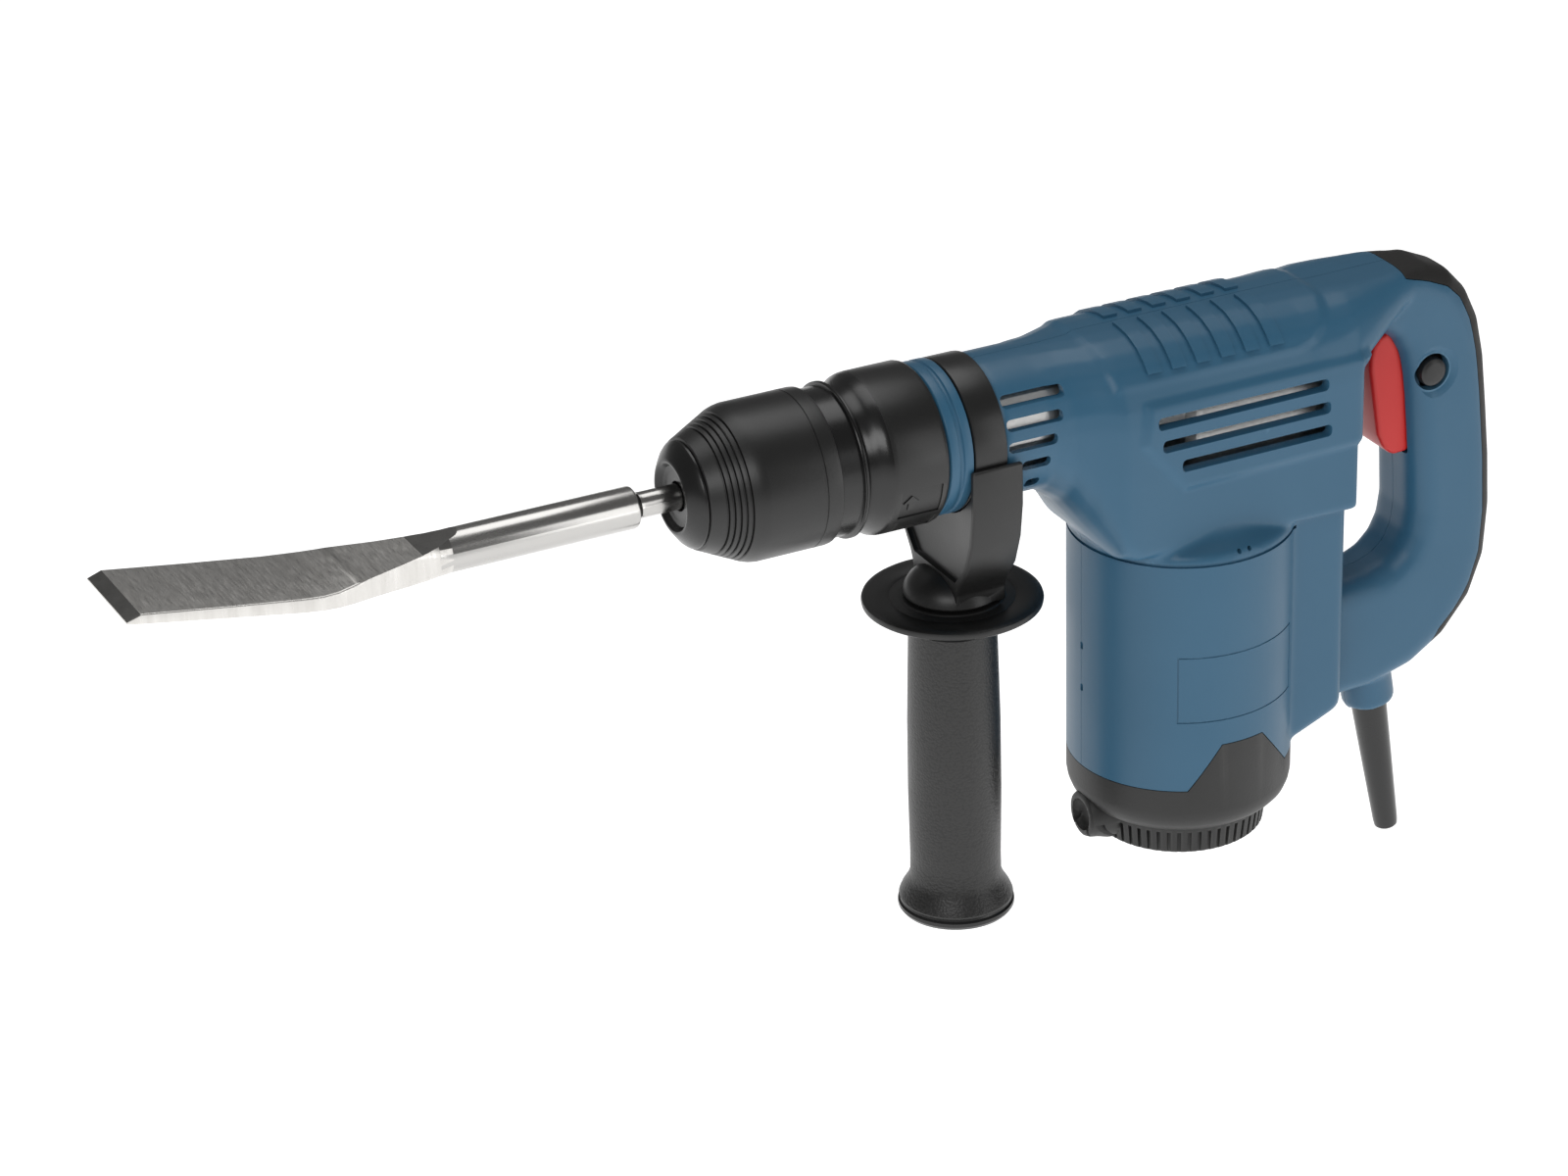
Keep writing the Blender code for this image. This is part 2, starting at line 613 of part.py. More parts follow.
def chisel():
    round_rows = [(-68, 4.3), (-67.3, 4.9), (-128.6, 4.9), (-130, 5.6), (-130.3, 7.2), (-132, 8), (-204, 8)]
    rows = [(x, flat_section(r, r, r * 0.97, 0)) for x, r in round_rows]
    rows += [
        (-218, flat_section(9.6, 7, 4, 0.3)), (-230, flat_section(12.6, 5.2, 2, 0.4)),
        (-243, flat_section(16.4, 3.8, 0.9, 0.4)), (-257, flat_section(20, 2.9, 0.5, 0.6)),
        (-292, flat_section(20, 2.3, 0.4, 6.4)), (-325.5, flat_section(20, 1.9, 0.4, 12.1)),
        (-330, flat_section(20, 0.4, 0.2, 11.6)),
    ]
    smooth(loft("chisel", rows, "steel"))


# ---------------------------------------------------------------- side handle

def side_handle():
    band = ring("clamp_band", -5.2, 8.3, 26.7, 29.2, "black", steps=24)
    cut(band, block("band_gap", (-20, -6, -40), (20, 6, -20)))
    bracket_loop = [(-31.5, -3), (-31.5, -26), (-27, -45), (-18, -57), (-15, -65.6), (15, -65.6), (18, -57),
                    (27, -45), (31.5, -26), (31.5, -3)]
    bracket = outline("handle_bracket", bracket_loop, 10.5, "black", bevel=1.2, plane="YZ", at=(3, 0, 0))
    cut(bracket, rod("band_clear", -40, 40, 29.9, steps=32))
    cut(bracket, rod("stud_hole", -90, -20, 4.4, axis="Z", steps=16))
    grip = [
        (-140, 0), (-140, 4.4), (-66.2, 4.4), (-66.2, 33.8), (-67.4, 34.6), (-69.6, 34), (-72.5, 17),
        (-77, 16), (-135, 17.7), (-186, 17.7), (-196, 22.2), (-199, 22.7), (-201.7, 20.6), (-201.7, 0),
    ]
    turned("side_grip", grip, "black", axis="Z", steps=20)
    rod("clamp_stud", -138, -36, 4, "steel", axis="Z", steps=16)


# ---------------------------------------------------------------- controls

def controls():
    loop = [(186, 3.4), (181.5, 0), (179, -6), (178.8, -10), (183.3, -40), (186.5, -46.5), (191.5, -50),
            (198.5, -49.5), (200.5, -44), (200.8, -18), (199, 0), (195, 3.4)]
    trigger = outline("trigger", loop, 9.6, "red", bevel=2.5)
    cut(trigger, rod("trigger_bore", -20, 20, 1.8, axis="Y", at=TRIGGER_PIVOT, steps=12))
    set_origin(bake_smooth(trigger, "red"), *TRIGGER_PIVOT)
    rod("trigger_pin", -12, 12, 1.5, "steel", axis="Y", at=TRIGGER_PIVOT, steps=12)
    rod("lock_button", -17.3, -12.8, 5.8, "black", axis="Y", at=LOCK_CENTRE, steps=16, chamfer=0.8)
    block("switch_body", (208.5, -7.5, -56), (222.5, 7.5, -12), "black", bevel=1)
    block("capacitor", (141, -9, -112), (152, 9, -88), "white", bevel=1)
    block("cord_clamp", (170, -8, -137), (182, 8, -130), "black", bevel=1)


housing()
soft_grip()
front_collar()
motor_cap()
cord_guard()
gear_case()
gear_plate()
bearing("upper_bearing", -36)
bearing("lower_bearing", -167.4)
armature()
stator()
brushes()
crank()
con_rod()
striking_line()
tool_holder()
angle_ring()
spring_cover()
locking_sleeve()
dust_cap()
sleeve_spring()
chisel()
side_handle()
controls()
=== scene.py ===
import json
import math

import bpy
from mathutils import Matrix, Vector

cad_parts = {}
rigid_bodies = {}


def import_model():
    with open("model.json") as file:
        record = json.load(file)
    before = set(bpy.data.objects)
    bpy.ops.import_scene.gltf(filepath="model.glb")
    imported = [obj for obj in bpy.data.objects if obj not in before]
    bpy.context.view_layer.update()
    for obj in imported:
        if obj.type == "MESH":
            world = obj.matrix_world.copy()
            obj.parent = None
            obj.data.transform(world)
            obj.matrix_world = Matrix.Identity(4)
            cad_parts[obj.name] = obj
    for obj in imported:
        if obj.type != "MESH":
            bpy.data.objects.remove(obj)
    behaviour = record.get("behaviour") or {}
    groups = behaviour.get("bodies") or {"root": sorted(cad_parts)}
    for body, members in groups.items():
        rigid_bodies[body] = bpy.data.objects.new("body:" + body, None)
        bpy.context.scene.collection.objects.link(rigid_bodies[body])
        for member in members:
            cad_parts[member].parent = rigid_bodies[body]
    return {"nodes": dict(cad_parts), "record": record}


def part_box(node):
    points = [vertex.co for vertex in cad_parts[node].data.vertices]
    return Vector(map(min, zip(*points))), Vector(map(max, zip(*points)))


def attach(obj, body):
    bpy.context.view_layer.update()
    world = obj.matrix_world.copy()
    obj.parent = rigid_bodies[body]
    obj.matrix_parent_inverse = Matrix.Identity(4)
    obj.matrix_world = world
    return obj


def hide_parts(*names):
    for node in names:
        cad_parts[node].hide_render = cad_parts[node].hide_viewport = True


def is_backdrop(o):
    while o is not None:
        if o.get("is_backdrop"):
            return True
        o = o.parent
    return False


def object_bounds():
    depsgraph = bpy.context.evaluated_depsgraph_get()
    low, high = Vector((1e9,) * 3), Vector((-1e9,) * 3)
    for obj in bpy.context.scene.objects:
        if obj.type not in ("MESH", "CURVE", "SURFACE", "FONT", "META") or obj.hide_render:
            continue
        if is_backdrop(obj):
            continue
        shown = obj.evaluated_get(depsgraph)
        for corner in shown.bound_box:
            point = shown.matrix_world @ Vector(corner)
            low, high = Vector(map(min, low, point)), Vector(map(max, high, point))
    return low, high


# the start-up cube, lamp and camera go first
for leftover in list(bpy.data.objects):
    bpy.data.objects.remove(leftover)
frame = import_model()
cadLow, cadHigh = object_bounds()

# everything below is in millimetres from the side handle's line (x) and the hammer axis (y, z)
mm = 0.001
gripLow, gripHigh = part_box("side_grip")
collarLow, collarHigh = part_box("front_collar")
statorLow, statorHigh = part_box("stator_core")
handleX = (gripLow.x + gripHigh.x) / 2
axisZ = (collarLow.z + collarHigh.z) / 2
motorX = ((statorLow.x + statorHigh.x) / 2 - handleX) / mm
xAxis = Vector((1, 0, 0))
yAxis = Vector((0, 1, 0))
zAxis = Vector((0, 0, 1))
print("frame loaded, motor axis at", round(motorX, 2))


def at(x, y, z):
    return Vector((handleX + x * mm, y * mm, axisZ + z * mm))


# the modelling moves that the pieces share
def deselect():
    if bpy.context.mode != "OBJECT":
        bpy.ops.object.mode_set(mode="OBJECT")
    bpy.ops.object.select_all(action="DESELECT")


def pick(obj, *others):
    deselect()
    for each in (obj, *others):
        each.select_set(True)
    bpy.context.view_layer.objects.active = obj
    return obj


def edit(obj):
    pick(obj)
    bpy.ops.object.mode_set(mode="EDIT")
    bpy.ops.mesh.select_mode(type="VERT")
    bpy.ops.mesh.select_all(action="DESELECT")


def choose(obj, test, kind="vertices"):
    # selection by place or normal, back in edit mode
    bpy.ops.object.mode_set(mode="EDIT")
    bpy.ops.mesh.select_mode(type={"vertices": "VERT", "polygons": "FACE"}[kind])
    bpy.ops.mesh.select_all(action="DESELECT")
    bpy.ops.object.mode_set(mode="OBJECT")
    for item in getattr(obj.data, kind):
        item.select = test(item)
    bpy.ops.object.mode_set(mode="EDIT")


def settle(obj):
    # place, turn and size go into the mesh
    pick(obj)
    bpy.ops.object.transform_apply(location=True, rotation=True, scale=True)
    return obj


def applyModifiers(obj):
    pick(obj)
    for modifier in list(obj.modifiers):
        bpy.ops.object.modifier_apply(modifier=modifier.name)
    return obj


def softenEdges(obj, width, segments=3, limit=28):
    bevel = obj.modifiers.new("softEdges", "BEVEL")
    bevel.width = width * mm
    bevel.segments = segments
    bevel.limit_method = "ANGLE"
    bevel.angle_limit = math.radians(limit)
    return applyModifiers(obj)


def smoothShade(obj, angle=30):
    pick(obj)
    bpy.ops.object.shade_smooth_by_angle(angle=math.radians(angle))
    return obj


def drawLine(name, points):
    # a plane merged to one point, then drawn on by extruding
    deselect()
    bpy.ops.mesh.primitive_plane_add(size=mm, location=points[0])
    line = bpy.context.object
    line.name = name
    bpy.ops.object.mode_set(mode="EDIT")
    bpy.ops.mesh.select_mode(type="VERT")
    bpy.ops.mesh.select_all(action="SELECT")
    bpy.ops.mesh.merge(type="CENTER")
    for start, end in zip(points, points[1:]):
        bpy.ops.mesh.extrude_region_move(TRANSFORM_OT_translate={"value": end - start})
    return line


def closeUp():
    bpy.ops.mesh.select_all(action="SELECT")
    bpy.ops.mesh.remove_doubles(threshold=0.01 * mm)
    bpy.ops.mesh.normals_make_consistent(inside=False)


def turnPiece(name, profile, axis="X", centre=(0, 0, 0), steps=128, edge=0.0, tilt=0.0):
    # profile is (station, radius); a profile that leaves the axis is a ring and closes on itself
    along = {"X": xAxis, "Y": yAxis, "Z": zAxis}[axis]
    side = xAxis if axis == "Y" else -yAxis
    base = at(*centre)
    outline = list(profile)
    if outline[0][1] > 0:
        outline.append(outline[0])
    piece = drawLine(name, [base + (along * station + side * radius) * mm for station, radius in outline])
    bpy.ops.mesh.select_all(action="SELECT")
    bpy.ops.mesh.spin(steps=steps, angle=2 * math.pi, center=base, axis=along)
    closeUp()
    if tilt:
        leaning = Matrix.Rotation(math.radians(tilt), 4, "Y")
        bpy.ops.object.mode_set(mode="OBJECT")
        settle(piece)
        piece.data.transform(Matrix.Translation(base) @ leaning @ Matrix.Translation(-base))
    settle(piece)
    if edge:
        softenEdges(piece, edge)
    return smoothShade(piece)


def rod(low, high, radius):
    # the profile of a plain cylinder between two stations
    return [(low, 0), (low, radius), (high, radius), (high, 0)]


def tube(low, high, inner, outer):
    return [(low, inner), (low, outer), (high, outer), (high, inner)]


def cutPlate(name, loop, low, high, plane="XZ", edge=0.0, segments=3):
    # an outline drawn point by point, filled and pulled thick
    if plane == "XZ":
        points = [at(u, low, v) for u, v in loop]
        pull = yAxis * (high - low) * mm
    elif plane == "YZ":
        points = [at(low, u, v) for u, v in loop]
        pull = xAxis * (high - low) * mm
    else:
        points = [at(u, v, low) for u, v in loop]
        pull = zAxis * (high - low) * mm
    plate = drawLine(name, points + points[:1])
    bpy.ops.mesh.select_all(action="SELECT")
    bpy.ops.mesh.remove_doubles(threshold=0.001 * mm)
    bpy.ops.mesh.edge_face_add()
    bpy.ops.mesh.extrude_region_move(TRANSFORM_OT_translate={"value": pull})
    closeUp()
    settle(plate)
    if edge:
        softenEdges(plate, edge, segments, 20)
    return plate


def addBlock(name, low, high, edge=0.0):
    deselect()
    middle = [(a + b) / 2 for a, b in zip(low, high)]
    bpy.ops.mesh.primitive_cube_add(size=1, location=at(*middle),
                                    scale=[(b - a) * mm for a, b in zip(low, high)])
    block = bpy.context.object
    block.name = name
    settle(block)
    if edge:
        bpy.ops.object.mode_set(mode="EDIT")
        bpy.ops.mesh.select_all(action="SELECT")
        bpy.ops.mesh.bevel(offset=edge * mm, segments=3, affect="EDGES")
        bpy.ops.object.mode_set(mode="OBJECT")
    return block


def addSection(centre, high, wide, turn, cornerOut, cornerIn):
    # one rounded cross-section; the out corners lie on the side that the height points to
    deselect()
    bpy.ops.mesh.primitive_plane_add(size=1, location=centre, rotation=(0, math.pi / 2 + turn, 0))
    outline = bpy.context.object
    outline.scale = (2 * high * mm, 2 * wide * mm, 1)
    bpy.ops.object.transform_apply(location=False, rotation=False, scale=True)
    for sign, corner, other in ((-1, cornerOut, cornerIn), (1, cornerIn, cornerOut)):
        limit = min(0.97 * wide, max(0.97 * high, 1.96 * high - other))
        choose(outline, lambda vert: vert.co.x * sign > 0.9 * high * mm
               and abs(vert.co.y) > 0.9 * wide * mm)
        bpy.ops.mesh.bevel(offset=min(corner, limit) * mm, segments=6, affect="VERTICES")
    bpy.ops.mesh.select_all(action="SELECT")
    bpy.ops.mesh.delete(type="ONLY_FACE")
    bpy.ops.mesh.select_all(action="SELECT")
    bpy.ops.object.mode_set(mode="OBJECT")
    return settle(outline)


def skin(name, outlines):
    # the sections are joined one after the other and bridged
    body = outlines[0]
    count = len(body.data.vertices)
    for index, outline in enumerate(outlines[1:], 1):
        pick(body, outline)
        bpy.ops.object.join()
        choose(body, lambda vert: (index - 1) * count <= vert.index < (index + 1) * count)
        bpy.ops.mesh.bridge_edge_loops()
        bpy.ops.object.mode_set(mode="OBJECT")
    last = len(outlines) * count
    choose(body, lambda vert: vert.index < count)
    bpy.ops.mesh.edge_face_add()
    choose(body, lambda vert: vert.index >= last - count)
    bpy.ops.mesh.edge_face_add()
    closeUp()
    bpy.ops.object.mode_set(mode="OBJECT")
    body.name = name
    return body


def copyOf(obj, name):
    twin = obj.copy()
    twin.data = obj.data.copy()
    twin.name = name
    bpy.context.scene.collection.objects.link(twin)
    return twin


def joinAll(name, objects):
    pick(*objects)
    bpy.ops.object.join()
    joined = bpy.context.object
    joined.name = name
    return joined


def combine(target, tool, how="DIFFERENCE"):
    # the tool is used up
    pick(target)
    modifier = target.modifiers.new(how.lower(), "BOOLEAN")
    modifier.operation = how
    modifier.solver = "MANIFOLD"
    modifier.object = tool
    bpy.ops.object.modifier_apply(modifier=modifier.name)
    bpy.data.objects.remove(tool)
    return target


def cutAll(target, cutters):
    # each cutter comes off the piece in turn
    for cutter in cutters:
        combine(target, cutter)
    return target


def fuse(name, solids, voxel, rounds):
    # overlapping solids melt into one skin with soft inner corners
    body = joinAll(name, solids)
    remesh = body.modifiers.new("fuse", "REMESH")
    remesh.mode = "VOXEL"
    remesh.voxel_size = voxel * mm
    relax = body.modifiers.new("relax", "SMOOTH")
    relax.iterations = rounds
    relax.factor = 0.5
    return applyModifiers(body)


def edgeDistance(point, loop):
    # how far inside an outline a point is, negative outside
    u, v = point
    inside = False
    nearest = 1e9
    for (u0, v0), (u1, v1) in zip(loop, loop[1:] + loop[:1]):
        du, dv = u1 - u0, v1 - v0
        share = max(0.0, min(1.0, ((u - u0) * du + (v - v0) * dv) / (du * du + dv * dv)))
        nearest = min(nearest, math.hypot(u - u0 - share * du, v - v0 - share * dv))
        if (v0 > v) != (v1 > v) and u < u0 + (v - v0) / dv * du:
            inside = not inside
    return nearest if inside else -nearest


def raiseArea(obj, height, depthAt, slope):
    # pushes the skin out where depthAt is positive, over a soft border
    group = obj.vertex_groups.new(name="raised")
    for vert in obj.data.vertices:
        x, y, z = ((vert.co.x - handleX) / mm, vert.co.y / mm, (vert.co.z - axisZ) / mm)
        share = max(0.0, min(1.0, depthAt(x, y, z) / slope))
        if share > 0:
            group.add([vert.index], share, "REPLACE")
    displace = obj.modifiers.new("raise", "DISPLACE")
    displace.strength = height * mm
    displace.mid_level = 0
    displace.vertex_group = group.name
    applyModifiers(obj)
    obj.vertex_groups.clear()
    return obj


# shader groups first, then the materials made from them
def newGroup(name, inputs, outputs):
    group = bpy.data.node_groups.new(name, "ShaderNodeTree")
    for label, kind, value in inputs:
        socket = group.interface.new_socket(label, in_out="INPUT", socket_type=kind)
        if value is not None:
            socket.default_value = value
    for label, kind in outputs:
        group.interface.new_socket(label, in_out="OUTPUT", socket_type=kind)
    source = group.nodes.new("NodeGroupInput")
    target = group.nodes.new("NodeGroupOutput")
    source.location = (-700, 0)
    target.location = (600, 0)
    return group, source, target


def addNode(tree, kind, place, **values):
    node = tree.nodes.new(kind)
    node.location = place
    for label, value in values.items():
        setattr(node, label, value)
    return node


def mathNode(tree, operation, place, first, second):
    node = addNode(tree, "ShaderNodeMath", place, operation=operation)
    for socket, value in zip(node.inputs, (first, second)):
        if isinstance(value, (int, float)):
            socket.default_value = value
        else:
            tree.links.new(value, socket)
    return node.outputs[0]


def makeMouldGrain():
    # fine spark-eroded skin of moulded plastic
    group, source, target = newGroup("mouldGrain", [
        ("Vector", "NodeSocketVector", None), ("Scale", "NodeSocketFloat", 1400.0),
        ("Coarse", "NodeSocketFloat", 0.3)],
        [("Height", "NodeSocketFloat"), ("Cloud", "NodeSocketFloat")])
    fine = addNode(group, "ShaderNodeTexNoise", (-400, 150))
    fine.inputs["Detail"].default_value = 3
    coarse = addNode(group, "ShaderNodeTexVoronoi", (-400, -100))
    cloud = addNode(group, "ShaderNodeTexNoise", (-400, -350))
    cloud.inputs["Scale"].default_value = 18
    cloud.inputs["Detail"].default_value = 4
    for node in (fine, coarse, cloud):
        group.links.new(source.outputs["Vector"], node.inputs["Vector"])
    group.links.new(source.outputs["Scale"], fine.inputs["Scale"])
    half = mathNode(group, "MULTIPLY", (-560, -150), source.outputs["Scale"], 0.6)
    group.links.new(half, coarse.inputs["Scale"])
    pits = mathNode(group, "MULTIPLY", (-150, -100), coarse.outputs["Distance"], source.outputs["Coarse"])
    total = mathNode(group, "ADD", (100, 50), fine.outputs["Fac"], pits)
    group.links.new(total, target.inputs["Height"])
    group.links.new(cloud.outputs["Fac"], target.inputs["Cloud"])
    return group


def makeLeatherGrain():
    # the worm-like cells of a leather-textured grip
    group, source, target = newGroup("leatherGrain", [
        ("Vector", "NodeSocketVector", None), ("Scale", "NodeSocketFloat", 700.0),
        ("Wander", "NodeSocketFloat", 0.0012)],
        [("Height", "NodeSocketFloat"), ("Valley", "NodeSocketFloat")])
    drift = addNode(group, "ShaderNodeTexNoise", (-520, -150))
    drift.inputs["Scale"].default_value = 260
    shift = addNode(group, "ShaderNodeVectorMath", (-330, -150), operation="SCALE")
    moved = addNode(group, "ShaderNodeVectorMath", (-160, 0), operation="ADD")
    cells = addNode(group, "ShaderNodeTexVoronoi", (20, 0), feature="SMOOTH_F1")
    cells.inputs["Smoothness"].default_value = 0.35
    group.links.new(source.outputs["Vector"], drift.inputs["Vector"])
    group.links.new(drift.outputs["Color"], shift.inputs[0])
    group.links.new(source.outputs["Wander"], shift.inputs["Scale"])
    group.links.new(source.outputs["Vector"], moved.inputs[0])
    group.links.new(shift.outputs[0], moved.inputs[1])
    group.links.new(moved.outputs[0], cells.inputs["Vector"])
    group.links.new(source.outputs["Scale"], cells.inputs["Scale"])
    raised = mathNode(group, "SUBTRACT", (250, 80), 1.0, cells.outputs["Distance"])
    # valleys between the cells are marked for a darker colour: painted shade in the grain
    valley = mathNode(group, "GREATER_THAN", (250, -80), cells.outputs["Distance"], 0.62)
    group.links.new(raised, target.inputs["Height"])
    group.links.new(valley, target.inputs["Valley"])
    return group


def makeEdgeHighlight():
    # a mask of the outer edges, where a painted highlight lightens the rims
    group, source, target = newGroup("edgeHighlight", [
        ("Vector", "NodeSocketVector", None), ("Start", "NodeSocketFloat", 0.52),
        ("Amount", "NodeSocketFloat", 0.5)], [("Mask", "NodeSocketFloat")])
    shape = addNode(group, "ShaderNodeNewGeometry", (-500, 100))
    patch = addNode(group, "ShaderNodeTexNoise", (-500, -150))
    patch.inputs["Scale"].default_value = 90
    patch.inputs["Detail"].default_value = 5
    group.links.new(source.outputs["Vector"], patch.inputs["Vector"])
    over = mathNode(group, "SUBTRACT", (-300, 100), shape.outputs["Pointiness"], source.outputs["Start"])
    steep = mathNode(group, "MULTIPLY", (-120, 100), over, 12.0)
    broken = mathNode(group, "MULTIPLY", (60, 50), steep, patch.outputs["Fac"])
    scaled = mathNode(group, "MULTIPLY", (220, 50), broken, source.outputs["Amount"])
    clamp = addNode(group, "ShaderNodeClamp", (400, 50))
    group.links.new(scaled, clamp.inputs["Value"])
    group.links.new(clamp.outputs[0], target.inputs["Mask"])
    return group


def makeBrushMarks():
    # grinding lines that run across the stretched direction
    group, source, target = newGroup("brushMarks", [
        ("Vector", "NodeSocketVector", None), ("Scale", "NodeSocketFloat", 60.0)],
        [("Height", "NodeSocketFloat"), ("Streak", "NodeSocketFloat")])
    fine = addNode(group, "ShaderNodeTexNoise", (-300, 120))
    fine.inputs["Detail"].default_value = 6
    broad = addNode(group, "ShaderNodeTexNoise", (-300, -120))
    broad.inputs["Detail"].default_value = 3
    third = mathNode(group, "MULTIPLY", (-480, -120), source.outputs["Scale"], 0.2)
    group.links.new(source.outputs["Vector"], fine.inputs["Vector"])
    group.links.new(source.outputs["Vector"], broad.inputs["Vector"])
    group.links.new(source.outputs["Scale"], fine.inputs["Scale"])
    group.links.new(third, broad.inputs["Scale"])
    group.links.new(fine.outputs["Fac"], target.inputs["Height"])
    group.links.new(broad.outputs["Fac"], target.inputs["Streak"])
    return group


mouldGrain = makeMouldGrain()
leatherGrain = makeLeatherGrain()
edgeHighlight = makeEdgeHighlight()
brushMarks = makeBrushMarks()


def startMaterial(name, roughness, metallic=0.0, specular=0.5):
    material = bpy.data.materials.new(name)
    material.use_nodes = True
    tree = material.node_tree
    shader = tree.nodes["Principled BSDF"]
    shader.inputs["Roughness"].default_value = roughness
    shader.inputs["Metallic"].default_value = metallic
    shader.inputs["Specular IOR Level"].default_value = specular
    place = addNode(tree, "ShaderNodeTexCoord", (-1300, 0))
    return material, tree, shader, place.outputs["Object"]


def placeGroup(tree, group, vector, place, **values):
    node = addNode(tree, "ShaderNodeGroup", place, node_tree=group)
    tree.links.new(vector, node.inputs["Vector"])
    for label, value in values.items():
        node.inputs[label].default_value = value
    return node


def mixColours(tree, factor, first, second, place):
    mix = addNode(tree, "ShaderNodeMix", place, data_type="RGBA")
    tree.links.new(factor, mix.inputs["Factor"])
    sockets = [socket for socket in mix.inputs if socket.type == "RGBA"]
    for socket, value in zip(sockets, (first, second)):
        if isinstance(value, tuple):
            socket.default_value = (*value, 1)
        else:
            tree.links.new(value, socket)
    return next(socket for socket in mix.outputs if socket.type == "RGBA")


def rangeNode(tree, value, low, high, place):
    node = addNode(tree, "ShaderNodeMapRange", place)
    tree.links.new(value, node.inputs["Value"])
    node.inputs["From Min"].default_value = 0.3
    node.inputs["From Max"].default_value = 0.7
    node.inputs["To Min"].default_value = low
    node.inputs["To Max"].default_value = high
    return node.outputs["Result"]


def bumpFrom(tree, shader, height, distance, strength=1.0):
    bump = addNode(tree, "ShaderNodeBump", (-250, -350))
    bump.inputs["Distance"].default_value = distance * mm
    bump.inputs["Strength"].default_value = strength
    tree.links.new(height, bump.inputs["Height"])
    tree.links.new(bump.outputs["Normal"], shader.inputs["Normal"])


def plasticMaterial(name, colour, shade, edgeHighlightColour, roughness, grain=1400.0, depth=0.03, specular=0.5):
    # moulded plastic: a clouded colour, a painted highlight on the edges and a fine eroded skin
    material, tree, shader, vector = startMaterial(name, roughness, 0.0, specular)
    skinGrain = placeGroup(tree, mouldGrain, vector, (-1000, -100), Scale=grain)
    rimHighlight = placeGroup(tree, edgeHighlight, vector, (-1000, 200))
    base = mixColours(tree, skinGrain.outputs["Cloud"], colour, shade, (-700, 100))
    # the edges are mixed towards the paler edge colour: a painted highlight on the rims
    highlighted = mixColours(tree, rimHighlight.outputs["Mask"], base, edgeHighlightColour, (-450, 100))
    tree.links.new(highlighted, shader.inputs["Base Color"])
    rough = rangeNode(tree, skinGrain.outputs["Cloud"], roughness - 0.05, roughness + 0.05, (-450, -150))
    tree.links.new(rough, shader.inputs["Roughness"])
    bumpFrom(tree, shader, skinGrain.outputs["Height"], depth)
    return material


def leatherMaterial(name, colour, valleyShadeColour, roughness, scale, depth):
    material, tree, shader, vector = startMaterial(name, roughness)
    hide = placeGroup(tree, leatherGrain, vector, (-1000, -100), Scale=scale)
    skinGrain = placeGroup(tree, mouldGrain, vector, (-1000, 200), Scale=500.0)
    # the grain valleys take the darker colour: painted shade
    base = mixColours(tree, hide.outputs["Valley"], colour, valleyShadeColour, (-700, 100))
    tree.links.new(base, shader.inputs["Base Color"])
    rough = rangeNode(tree, skinGrain.outputs["Cloud"], roughness - 0.04, roughness + 0.06, (-450, -150))
    tree.links.new(rough, shader.inputs["Roughness"])
    bumpFrom(tree, shader, hide.outputs["Height"], depth)
    return material


def metalMaterial(name, colour, shade, roughness, stretch, slant=0.0, scale=60.0, depth=0.02):
    # stretch thins the marks along each axis, slant turns them about the upright
    material, tree, shader, vector = startMaterial(name, roughness, 1.0)
    mapping = addNode(tree, "ShaderNodeMapping", (-1150, -100))
    mapping.inputs["Scale"].default_value = stretch
    mapping.inputs["Rotation"].default_value = (0, 0, math.radians(slant))
    tree.links.new(vector, mapping.inputs["Vector"])
    marks = placeGroup(tree, brushMarks, mapping.outputs["Vector"], (-900, -100), Scale=scale)
    base = mixColours(tree, marks.outputs["Streak"], shade, colour, (-600, 100))
    tree.links.new(base, shader.inputs["Base Color"])
    rough = rangeNode(tree, marks.outputs["Height"], roughness - 0.08, roughness + 0.08, (-450, -150))
    tree.links.new(rough, shader.inputs["Roughness"])
    bumpFrom(tree, shader, marks.outputs["Height"], depth)
    return material


bluePlastic = plasticMaterial(
    "bluePlastic", (0.034, 0.12, 0.206), shade=(0.027, 0.102, 0.178), edgeHighlightColour=(0.07, 0.18, 0.28),
    roughness=0.4, grain=1500.0, depth=0.018, specular=0.4)
blackPlastic = plasticMaterial(
    "blackPlastic", (0.0105, 0.0105, 0.0102), shade=(0.0075, 0.0075, 0.0075),
    edgeHighlightColour=(0.03, 0.03, 0.029), roughness=0.38, grain=1200.0, depth=0.022)
mattBlack = plasticMaterial(
    "mattBlack", (0.013, 0.013, 0.0127), shade=(0.0095, 0.0095, 0.0092), edgeHighlightColour=(0.04, 0.04, 0.039),
    roughness=0.52, grain=900.0, depth=0.05)
glossBlack = plasticMaterial(
    "glossBlack", (0.0075, 0.0075, 0.0075), shade=(0.0055, 0.0055, 0.0055), edgeHighlightColour=(0.03, 0.03, 0.03),
    roughness=0.26, grain=900.0, depth=0.008)
softBlack = plasticMaterial(
    "softBlack", (0.016, 0.0148, 0.0138), shade=(0.011, 0.0104, 0.0098), edgeHighlightColour=(0.045, 0.043, 0.04),
    roughness=0.62, grain=800.0, depth=0.05, specular=0.4)
redPlastic = plasticMaterial(
    "redPlastic", (0.6, 0.009, 0.007), shade=(0.52, 0.008, 0.006), edgeHighlightColour=(0.75, 0.06, 0.045),
    roughness=0.42, grain=1500.0, depth=0.012)
whitePlastic = plasticMaterial(
    "whitePlastic", (0.72, 0.72, 0.69), shade=(0.62, 0.62, 0.6), edgeHighlightColour=(0.8, 0.8, 0.78), roughness=0.45)
